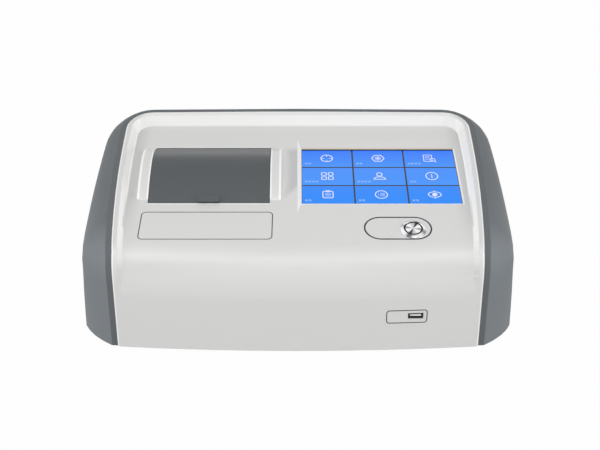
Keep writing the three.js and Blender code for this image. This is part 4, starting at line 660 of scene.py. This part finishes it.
def smoothBy(obj, degrees):
    activate(obj)
    bpy.ops.object.shade_smooth_by_angle(angle=math.radians(degrees))


def bevelEdges(obj, width, segments, angle):
    modify(obj, "BEVEL", width=width * mm, segments=segments, limit_method="ANGLE",
           angle_limit=math.radians(angle))


def pieceName(nodeName):
    first, *rest = nodeName.split("_")
    return first + "".join(map(str.capitalize, rest)) + "Piece"


softening = {
    "merge": 0.01, "flat": 0.6,    # millimetres between corners, degrees between faces
    "angle": 32, "smooth": 40,    # the least angles of a bevelled edge and of a sharp one
    "weight": 60,
}


def softened(nodeName, edge, segments, smooth=softening["smooth"], body="base"):
    # a CAD piece with its triangles merged, its edges rounded and its curves smooth
    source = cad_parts[nodeName]
    obj = source.copy()
    obj.data = source.data.copy()
    obj.name = obj.data.name = pieceName(nodeName)
    obj.parent = None
    obj.matrix_world = Matrix.Identity(4)
    bpy.context.scene.collection.objects.link(obj)
    with editing(obj):
        bpy.ops.mesh.remove_doubles(threshold=softening["merge"] * mm)
        bpy.ops.mesh.dissolve_limited(angle_limit=math.radians(softening["flat"]))
    bevelEdges(obj, edge, segments, softening["angle"])
    smoothBy(obj, smooth)
    modify(obj, "WEIGHTED_NORMAL", keep_sharp=True, weight=softening["weight"])
    dress(obj, finishOf(nodeName))
    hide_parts(nodeName)
    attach(obj, body)
    return obj


# The pieces that get rounded edges: the edge in millimetres and its segments, then the angle up to
# which walls are smooth and the body, where they aren't the usual ones
softEdges = {
    "top_cover": (0.6, 3),
    "side_rear_shell": (0.5, 2, 60),
    "sample_lid": (0.7, 3, softening["smooth"], "lid"),
    "sample_tub": (0.5, 2),
    "cuvette_holder": (0.4, 2),
    "lamp_housing": (0.6, 2),
    "optical_bench": (0.4, 2),
    "spectrometer_tray": (0.5, 2),
    "spectrometer_lid": (0.4, 2),
    "base_plate": (0.3, 2),
    "rear_io_plate": (0.2, 2),
    "rocker_frame": (0.4, 2),
    "power_rocker": (0.3, 2, softening["smooth"], "rocker"),
    "power_jack": (0.3, 2),
    "square_port": (0.25, 2),
    "usb_port_shell": (0.12, 2),
    "processor_heatsink": (0.2, 1),
    "display_bracket": (0.2, 1),
    "button_nut": (0.3, 2),
    "button_switch": (0.3, 2),
}
for number in range(1, 5):
    softEdges["foot_%d" % number] = (0.6, 3)
    softEdges["foot_screw_%d" % number] = (0.25, 2)
softPieces = {name: softened(name, *settings) for name, settings in softEdges.items()}
print("CAD pieces softened:", len(softPieces))


# Lengths that count as none, in millimetres
tiny = {"gap": 0.002, "step": 0.001, "offAxis": 0.01}


# Flat shapes on the panel: a primitive at its size and place, cut to its outline, then thickened

def tilt(turn=0.0):
    return (Matrix.Rotation(panel["slope"], 3, "X") @ Matrix.Rotation(turn, 3, "Z")).to_euler()


def roundCorners(obj, width, steps):
    with editing(obj):
        bpy.ops.mesh.bevel(affect="VERTICES", offset=width * mm, segments=steps)


def sized(scale):
    # the primitive that was just added, with its size put into the mesh
    obj = bpy.context.active_object
    obj.scale = scale
    bpy.ops.object.transform_apply(location=False, rotation=False, scale=True)
    return obj


def addFlat(place, size, corner=0.0, steps=1, rotation=None):
    bpy.ops.mesh.primitive_plane_add(size=1, location=place, rotation=rotation or tilt())
    obj = sized((size[0] * mm, size[1] * mm, 1))
    if corner:
        roundCorners(obj, corner, steps)
    return obj


def addRectangle(sides, h, corner=0.0, steps=1):
    # a flat shape between four sides on the panel
    middle = onPanel((sides["left"] + sides["right"]) / 2, (sides["front"] + sides["back"]) / 2, h)
    size = (sides["right"] - sides["left"], sides["back"] - sides["front"])
    return addFlat(middle, size, corner, steps)


def addDisc(place, radius, sides, turn=0.0, squash=1.0):
    bpy.ops.mesh.primitive_circle_add(vertices=sides, radius=radius * mm, fill_type="NGON",
                                      location=place, rotation=tilt(turn))
    return sized((1, squash, 1))


def hollowOut(obj, line):
    with editing(obj):
        bpy.ops.mesh.inset(thickness=line * mm)
        bpy.ops.mesh.delete(type="FACE")
    return obj


def thicken(obj, thickness):
    modify(obj, "SOLIDIFY", thickness=thickness * mm, offset=1)
    return obj


def settle(obj, name, material, body, smooth=30):
    # the place goes into the mesh, the faces out, and the piece rides on its body
    with editing(obj):
        bpy.ops.mesh.remove_doubles(threshold=tiny["gap"] * mm)
        bpy.ops.mesh.normals_make_consistent(inside=False)
    bpy.ops.object.transform_apply(location=True, rotation=True, scale=True)
    smoothBy(obj, smooth)
    obj.name = obj.data.name = name
    if material:
        dress(obj, material)
    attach(obj, body)


def joined(objects):
    activate(objects[0])
    for obj in objects:
        obj.select_set(True)
    bpy.ops.object.join()
    return objects[0]


# Printed outlines: the nameplate's, the pill round the button and the one round the port
printed = {
    "thickness": 0.05, "sunk": 0.015,
    "plate": {"left": -147.3, "right": -23.5, "front": -94.4, "back": -55.5,
              "corner": 4.6, "steps": 8, "line": 0.9},
    "pill": {"left": 60.9, "right": 124.1, "front": -94.6, "back": -62.7,
             "corner": 15.9, "steps": 24, "line": 1.55},
}


def printedOutline(name):
    shape = printed[name]
    obj = addRectangle(shape, -printed["sunk"], shape["corner"], shape["steps"])
    thicken(hollowOut(obj, shape["line"]), printed["thickness"])
    settle(obj, name + "Outline", materials["ink"], "base")


printedOutline("plate")
printedOutline("pill")

port = {"left": 80.7, "right": 118.7, "low": 33.8, "high": 47.5, "corner": 3.0, "steps": 6,
        "line": 0.85, "faceY": -122.0, "before": 2, "turn": 3.06, "lean": 2.0, "cuts": 3,
        "lift": 0.01}


def portOutline():
    # drawn before the front face and laid onto it
    middle = ((port["left"] + port["right"]) / 2 * mm, (port["faceY"] - port["before"]) * mm,
              (port["low"] + port["high"]) / 2 * mm)
    size = (port["right"] - port["left"], port["high"] - port["low"])
    facing = (Matrix.Rotation(math.radians(port["turn"]), 3, "Z")
              @ Matrix.Rotation(math.radians(90 - port["lean"]), 3, "X")).to_euler()
    obj = hollowOut(addFlat(middle, size, port["corner"], port["steps"], facing), port["line"])
    with editing(obj):
        bpy.ops.mesh.subdivide(number_cuts=port["cuts"])
    modify(obj, "SHRINKWRAP", target=softPieces["top_cover"], wrap_method="PROJECT",
           use_project_z=True, use_negative_direction=True, use_positive_direction=False,
           offset=port["lift"] * mm)
    settle(thicken(obj, printed["thickness"]), "portOutline", materials["ink"], "base")


portOutline()
print("outlines printed")


# The port's white tongue, which stands clear of the metal above and below it
tongue = {"low": (102.4, -119.95, 39.9), "high": (113.0, -107.05, 41.8), "edge": 0.3}


def portTongue():
    ends = list(zip(tongue["low"], tongue["high"]))
    bpy.ops.mesh.primitive_cube_add(size=1, location=[(low + high) / 2 * mm for low, high in ends])
    obj = sized([(high - low) * mm for low, high in ends])
    bevelEdges(obj, tongue["edge"], segments=3, angle=30)
    settle(obj, "usbPortTonguePiece", materials["ceramic"], "base")
    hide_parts("usb_port_tongue")


portTongue()
print("port tongue made")


# Display: nine lit tiles on the glass, parted by black, with plain marks in place of words

def selectFaces(obj, test):
    for face in obj.data.polygons:
        face.select = test(face)


def screenTiles():
    obj = addRectangle(opening, display["height"])
    with editing(obj):
        bpy.ops.mesh.subdivide(number_cuts=display["columns"] - 1)
        bpy.ops.mesh.select_all(action="SELECT")
        bpy.ops.mesh.inset(thickness=display["separator"] / 2 * mm, use_individual=True)
    dress(obj, materials["coverGlass"])
    obj.data.materials.append(materials["tiles"])
    with editing(obj, whole=False):
        obj.active_material_index = 1
        bpy.ops.object.material_slot_assign()
    settle(thicken(obj, display["thickness"]), "screenTiles", None, "base")


def screenGasket():
    # a pale foam edge round the glass
    obj = hollowOut(addRectangle(opening, display["height"]), display["gasket"])
    thicken(obj, display["gasketTall"])
    settle(obj, "screenGasket", materials["gasket"], "base")


def backStrip(name, fromBack, tall, material):
    # a strip along the opening's back wall
    wide = opening["right"] - opening["left"] - 2 * display["gasket"]
    middle = onPanel((opening["left"] + opening["right"]) / 2,
                     opening["back"] - display["gasket"] * (fromBack + 0.5), display["height"])
    obj = thicken(addFlat(middle, (wide, display["gasket"])), tall)
    bevelEdges(obj, display["stripEdge"], segments=2, angle=30)
    settle(obj, name, material, "base")


screenTiles()
screenGasket()
backStrip("screenGasketBack", 0, display["backGasket"], materials["gasket"])
backStrip("screenFrameBack", 1, display["backFrame"], materials["black"])

iconLift = display["height"] + display["iconLift"]


def tileMiddle(column, row):
    # columns run to the right and rows run to the front
    across = (opening["right"] - opening["left"]) / display["columns"]
    along = (opening["back"] - opening["front"]) / display["rows"]
    return (opening["left"] + across * (column + 0.5), opening["back"] - along * (row + 0.5))


def mark(x, s, width, length, corner=0.0, turn=0.0):
    return addFlat(onPanel(x, s, iconLift), (width, length), corner, 4, tilt(turn))


def frameMark(x, s, width, length, corner, line):
    return hollowOut(mark(x, s, width, length, corner), line)


def ringMark(x, s, radius, line, sides=32, turn=0.0, squash=1.0):
    return hollowOut(addDisc(onPanel(x, s, iconLift), radius, sides, turn, squash), line)


def dotMark(x, s, radius):
    return addDisc(onPanel(x, s, iconLift), radius, sides=20)


# The symbols, each round x and s, with sizes in shares of its half width r and of its line

def targetIcon(x, s, r, line):
    ticks = [mark(x + math.sin(a) * r * 0.62, s + math.cos(a) * r * 0.62,
                  width=line * 0.7, length=r * 0.5, turn=-a)
             for a in (0, math.pi / 2, math.pi, math.pi * 1.5)]
    return [ringMark(x, s, r, line, squash=0.94)] + ticks


def hexagonIcon(x, s, r, line):
    outline = ringMark(x, s, r, line, sides=6, turn=math.pi / 2, squash=1.1)
    roundCorners(outline, width=r * 0.16, steps=3)
    return [outline, ringMark(x, s, radius=r * 0.48, line=line * 0.6), dotMark(x, s, radius=r * 0.24)]


def searchIcon(x, s, r, line):
    page = frameMark(x - r * 0.2, s + r * 0.05, width=r * 1.45, length=r * 1.8, corner=r * 0.2,
                     line=line * 0.8)
    lens = ringMark(x + r * 0.55, s - r * 0.4, radius=r * 0.45, line=line * 0.8)
    handle = mark(x + r * 0.95, s - r * 0.85, width=line * 0.8, length=r * 0.5, turn=math.radians(45))
    lines = [mark(x - r * 0.25, s + r * (0.5 - 0.35 * i), width=r * 0.8, length=line * 0.55)
             for i in range(3)]
    return [page, lens, handle] + lines


def gridIcon(x, s, r, line):
    step = r * 0.53
    return [frameMark(x + i * step, s + j * step, width=r * 0.88, length=r * 0.86,
                      corner=r * 0.22, line=line * 0.95)
            for i in (-1, 1) for j in (-1, 1)]


def userIcon(x, s, r, line):
    # the shoulders are the upper half of a flattened ring
    foot = s - r * 0.82
    shoulders = addDisc(onPanel(x, foot, iconLift), radius=r * 0.98, sides=32, squash=0.72)
    hollowOut(shoulders, line)
    selectFaces(shoulders, lambda face: face.center.y < -line * 0.2 * mm)
    with editing(shoulders, whole=False):
        bpy.ops.mesh.delete(type="FACE")
    return [ringMark(x, s + r * 0.42, radius=r * 0.5, line=line), shoulders,
            mark(x, foot, width=r * 1.96, length=line * 0.9)]


def infoIcon(x, s, r, line):
    return [ringMark(x, s, r, line), dotMark(x, s + r * 0.4, radius=line * 0.65),
            mark(x, s - r * 0.14, width=line * 0.9, length=r * 0.7)]


def clipboardIcon(x, s, r, line):
    board = frameMark(x, s, width=r * 1.7, length=r * 1.75, corner=r * 0.28, line=line)
    clip = frameMark(x, s + r * 0.82, width=r * 0.7, length=r * 0.45, corner=r * 0.15, line=line * 0.7)
    lines = [mark(x, s + r * (0.3 - 0.33 * i), width=r * 0.95, length=line * 0.55) for i in range(3)]
    return [board, clip] + lines


def listIcon(x, s, r, line):
    rows = [s + r * 0.32 * i for i in (-1, 0, 1)]
    lines = [mark(x + r * 0.2, row, width=r * 0.7, length=line * 0.55) for row in rows]
    dots = [dotMark(x - r * 0.42, row, radius=line * 0.4) for row in rows]
    return [ringMark(x, s, r, line)] + lines + dots


def eyeIcon(x, s, r, line):
    lashes = [mark(x, s + r * 0.85 * side, width=line * 0.7, length=r * 0.3) for side in (1, -1)]
    return [ringMark(x, s, radius=r * 1.05, line=line, squash=0.7), dotMark(x, s, radius=r * 0.4)] + lashes


block = {"left": 20.9, "front": 8.1, "step": 3.5, "width": 2.7, "length": 2.6, "corner": 0.5}


def caption(x, s, blocks):
    # a line of small blocks where a caption stands, at the tile's front left
    return [mark(x - block["left"] + i * block["step"], s - block["front"], block["width"],
                 block["length"], block["corner"]) for i in range(blocks)]


# The symbols from the back left, with the number of blocks in each caption
icons = (
    (targetIcon, 2), (hexagonIcon, 2), (searchIcon, 4),
    (gridIcon, 4), (userIcon, 4), (infoIcon, 2),
    (clipboardIcon, 2), (listIcon, 2), (eyeIcon, 2),
)
iconLook = {"unlit": "20304a", "rough": 0.3, "specular": 0.1, "noise": (600, 1), "tone": 0.96,
            "icons": ("e8ecff", 0.95), "captions": ("8ab6ff", 0.9)}


def iconSurface(name, colour, strength):
    shade = Shade(name)
    lit = rgb(colour)
    glow = shade.blend(shade.noise(*iconLook["noise"]), shaded(lit, iconLook["tone"]), lit)
    return shade.surface(colour=rgb(iconLook["unlit"]), rough=iconLook["rough"],
                         specular=iconLook["specular"], glow=glow, glowStrength=strength)


def drawnPiece(marks, name, material):
    settle(thicken(joined(marks), display["thickness"]), name, material, "base", smooth=10)


captions, drawn = [], []
for place, (draw, blocks) in enumerate(icons):
    row, column = divmod(place, display["columns"])
    middleX, middleS = tileMiddle(column, row)
    drawn += draw(middleX, middleS + display["iconUp"], display["icon"] / 2, display["line"])
    captions += caption(middleX, middleS, blocks)
drawnPiece(drawn, "screenIcons", iconSurface("iconWhite", *iconLook["icons"]))
drawnPiece(captions, "screenCaptions", iconSurface("captionBlue", *iconLook["captions"]))
print("display drawn")


# Test button: the bezel with its barrel, the cap that is pressed and the spring under it

def addCylinder(low, high, radius):
    middle = onPanel(button["x"], button["s"], (low + high) / 2)
    bpy.ops.mesh.primitive_cylinder_add(vertices=button["sides"], radius=radius * mm,
                                        depth=(high - low) * mm, location=middle, rotation=tilt())
    return bpy.context.active_object


def selectEnd(obj, sign):
    # the end face of an upright cylinder: the one that lies furthest along its axis
    furthest = max(face.center.z * sign for face in obj.data.polygons)
    bpy.context.tool_settings.mesh_select_mode = (False, False, True)
    with editing(obj):
        bpy.ops.mesh.select_all(action="DESELECT")
    selectFaces(obj, lambda face: face.center.z * sign > furthest - tiny["step"] * mm)


def insetEnd(obj, sign, inwards, lengthwise):
    # draws a smaller ring in the end face where there is one, then moves the face along the axis
    along = (Matrix.Rotation(panel["slope"], 3, "X") @ Vector((0, 0, 1))) * (lengthwise * mm)
    selectEnd(obj, sign)
    with editing(obj, whole=False):
        if inwards:
            bpy.ops.mesh.inset(thickness=inwards * mm)
        bpy.ops.mesh.extrude_region_move(TRANSFORM_OT_translate={"value": along})


def shrinkEnd(obj, share):
    # narrows the end face that was moved last
    with editing(obj, whole=False):
        bpy.ops.transform.resize(value=(share, share, share))


def onAxis(face):
    return face.center.xy.length < tiny["offAxis"] * mm


def openBarrel(obj, inwards):
    # draws a ring in the bore's floor and one in the barrel's end, and joins them into a hole
    ends = sorted(filter(onAxis, obj.data.polygons), key=lambda face: -face.center.z)
    for index, thickness in zip([face.index for face in ends], inwards):
        selectFaces(obj, lambda face: face.index == index)
        with editing(obj, whole=False):
            bpy.ops.mesh.inset(thickness=thickness * mm)
    selectFaces(obj, onAxis)
    with editing(obj, whole=False):
        bpy.ops.mesh.bridge_edge_loops()


def buttonBezel():
    # a low cone round the cap, its bore, and the threaded barrel under the panel
    bore, barrel, shoulder = button["bore"], button["barrel"], button["shoulder"]
    obj = addCylinder(0, button["foot"], button["bezel"])
    insetEnd(obj, -1, button["bezel"] - barrel, -button["depth"])
    insetEnd(obj, 1, 0, button["rise"] - button["foot"])
    shrinkEnd(obj, shoulder / button["bezel"])
    insetEnd(obj, 1, shoulder - bore, button["bottom"] - button["depth"] - button["rise"])
    openBarrel(obj, (bore - button["hole"], barrel - button["hole"]))
    bevelEdges(obj, button["bezelEdge"], segments=3, angle=20)
    settle(obj, "buttonBezelPiece", materials["turned"], "base")
    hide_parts("button_bezel")


def buttonCap():
    # a flat faced top with a chamfer, and the stem that works the switch
    obj = addCylinder(button["capTop"] - button["capThickness"],
                      button["capTop"] - button["chamfer"], button["cap"])
    insetEnd(obj, -1, button["cap"] - button["stem"], -button["stemLength"])
    insetEnd(obj, 1, 0, button["chamfer"])
    shrinkEnd(obj, button["face"] / button["cap"])
    bevelEdges(obj, button["capEdge"], segments=2, angle=20)
    settle(obj, "buttonCapPiece", materials["turned"], "button")
    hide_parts("button_cap")


spring = {"radius": 5.0, "wire": 0.45, "wireSides": 10, "turns": 4, "steps": 24,
          "low": -17.9, "high": -0.65, "pressed": 1.5}


def buttonSpring():
    # a ring of wire swept into coils round the stem
    bpy.ops.mesh.primitive_circle_add(
        vertices=spring["wireSides"], radius=spring["wire"] * mm,
        location=(spring["radius"] * mm, 0, 0), rotation=(math.radians(90), 0, 0))
    obj = bpy.context.active_object
    bpy.ops.object.transform_apply(location=True, rotation=True, scale=True)
    length = spring["high"] - spring["low"]
    rise = (length - 2 * spring["wire"]) / spring["turns"] * mm
    modify(obj, "SCREW", angle=math.tau, iterations=spring["turns"], screw_offset=rise,
           steps=spring["steps"], render_steps=spring["steps"])
    with editing(obj):
        bpy.ops.mesh.fill_holes(sides=0)
    obj.location = onPanel(button["x"], button["s"], spring["low"] + spring["wire"])
    obj.rotation_euler = tilt()
    settle(obj, "buttonSpringPiece", materials["steel"], "base", smooth=40)
    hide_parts("button_spring")
    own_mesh(obj)


buttonBezel()
buttonCap()
buttonSpring()
print("button turned")


stageLook = {
    "floorSize": 12, "floor": ("cccccc", "d2d2d2"), "floorNoise": (3, 3), "floorRough": 0.9,
    "floorShare": 0.98,    # how much of it turns white where it is seen
    "world": 0.32,
    "key": {"place": (0.0, -1.2, 1.72), "size": (1.5, 1.0), "power": 21.8},
    "left": {"place": (-1.5, -0.8, 0.3), "size": (0.9, 0.6), "power": 7},
    "right": {"place": (1.5, -0.8, 0.3), "size": (0.9, 0.6), "power": 7},
    "back": {"place": (0.0, 1.5, 0.95), "size": (1.8, 0.5), "power": 3.3},
    "aim": (0, 0, 0.08),
}


def plainWhite(shade, kind, strength=1.0):
    return shade.node(kind, {}, {"Color": (1, 1, 1, 1), "Strength": strength})


def whiteWhereSeen(shade, rays, share, lit, white):
    # what lights the object, and plain white in its place for the kinds of ray that show it
    paths = [shade.node("ShaderNodeLightPath", {}, {}, "Is %s Ray" % ray) for ray in rays]
    return shade.node("ShaderNodeMixShader", {}, {0: shade.largest(*paths) * share, 1: lit, 2: white})


def makeStage():
    bpy.ops.mesh.primitive_plane_add(size=stageLook["floorSize"], location=(0, 0, 0))
    floor = bpy.context.active_object
    floor.name = "floor"
    shade = Shade("floorPale")
    grain = shade.noise(*stageLook["floorNoise"])
    paper = shade.node("ShaderNodeBsdfDiffuse", {},
                       {"Color": shade.blend(grain, *map(rgb, stageLook["floor"])),
                        "Roughness": stageLook["floorRough"]})
    white = plainWhite(shade, "ShaderNodeEmission")
    seen = whiteWhereSeen(shade, ("Camera", "Glossy"), stageLook["floorShare"], paper, white)
    dress(floor, shade.output(seen))


def makeWorld():
    shade = Shade("studio", "worlds")
    dome = plainWhite(shade, "ShaderNodeBackground", stageLook["world"])
    white = plainWhite(shade, "ShaderNodeBackground")
    seen = whiteWhereSeen(shade, ("Camera", "Glossy", "Transmission"), 1.0, dome, white)
    bpy.context.scene.world = shade.output(seen, "ShaderNodeOutputWorld")


def areaLight(name, place, size, power):
    data = bpy.data.lights.new(name, "AREA")
    data.shape = "RECTANGLE"
    data.size, data.size_y = size
    data.energy = power
    aim = Vector(stageLook["aim"]) - Vector(place)
    addObject(data, place, aim.to_track_quat("-Z", "Y").to_euler())


makeStage()
makeWorld()
for name in ("key", "left", "right", "back"):
    areaLight(name + "Softbox", **stageLook[name])
bpy.context.scene.view_settings.view_transform = "Standard"
print("stage lit")
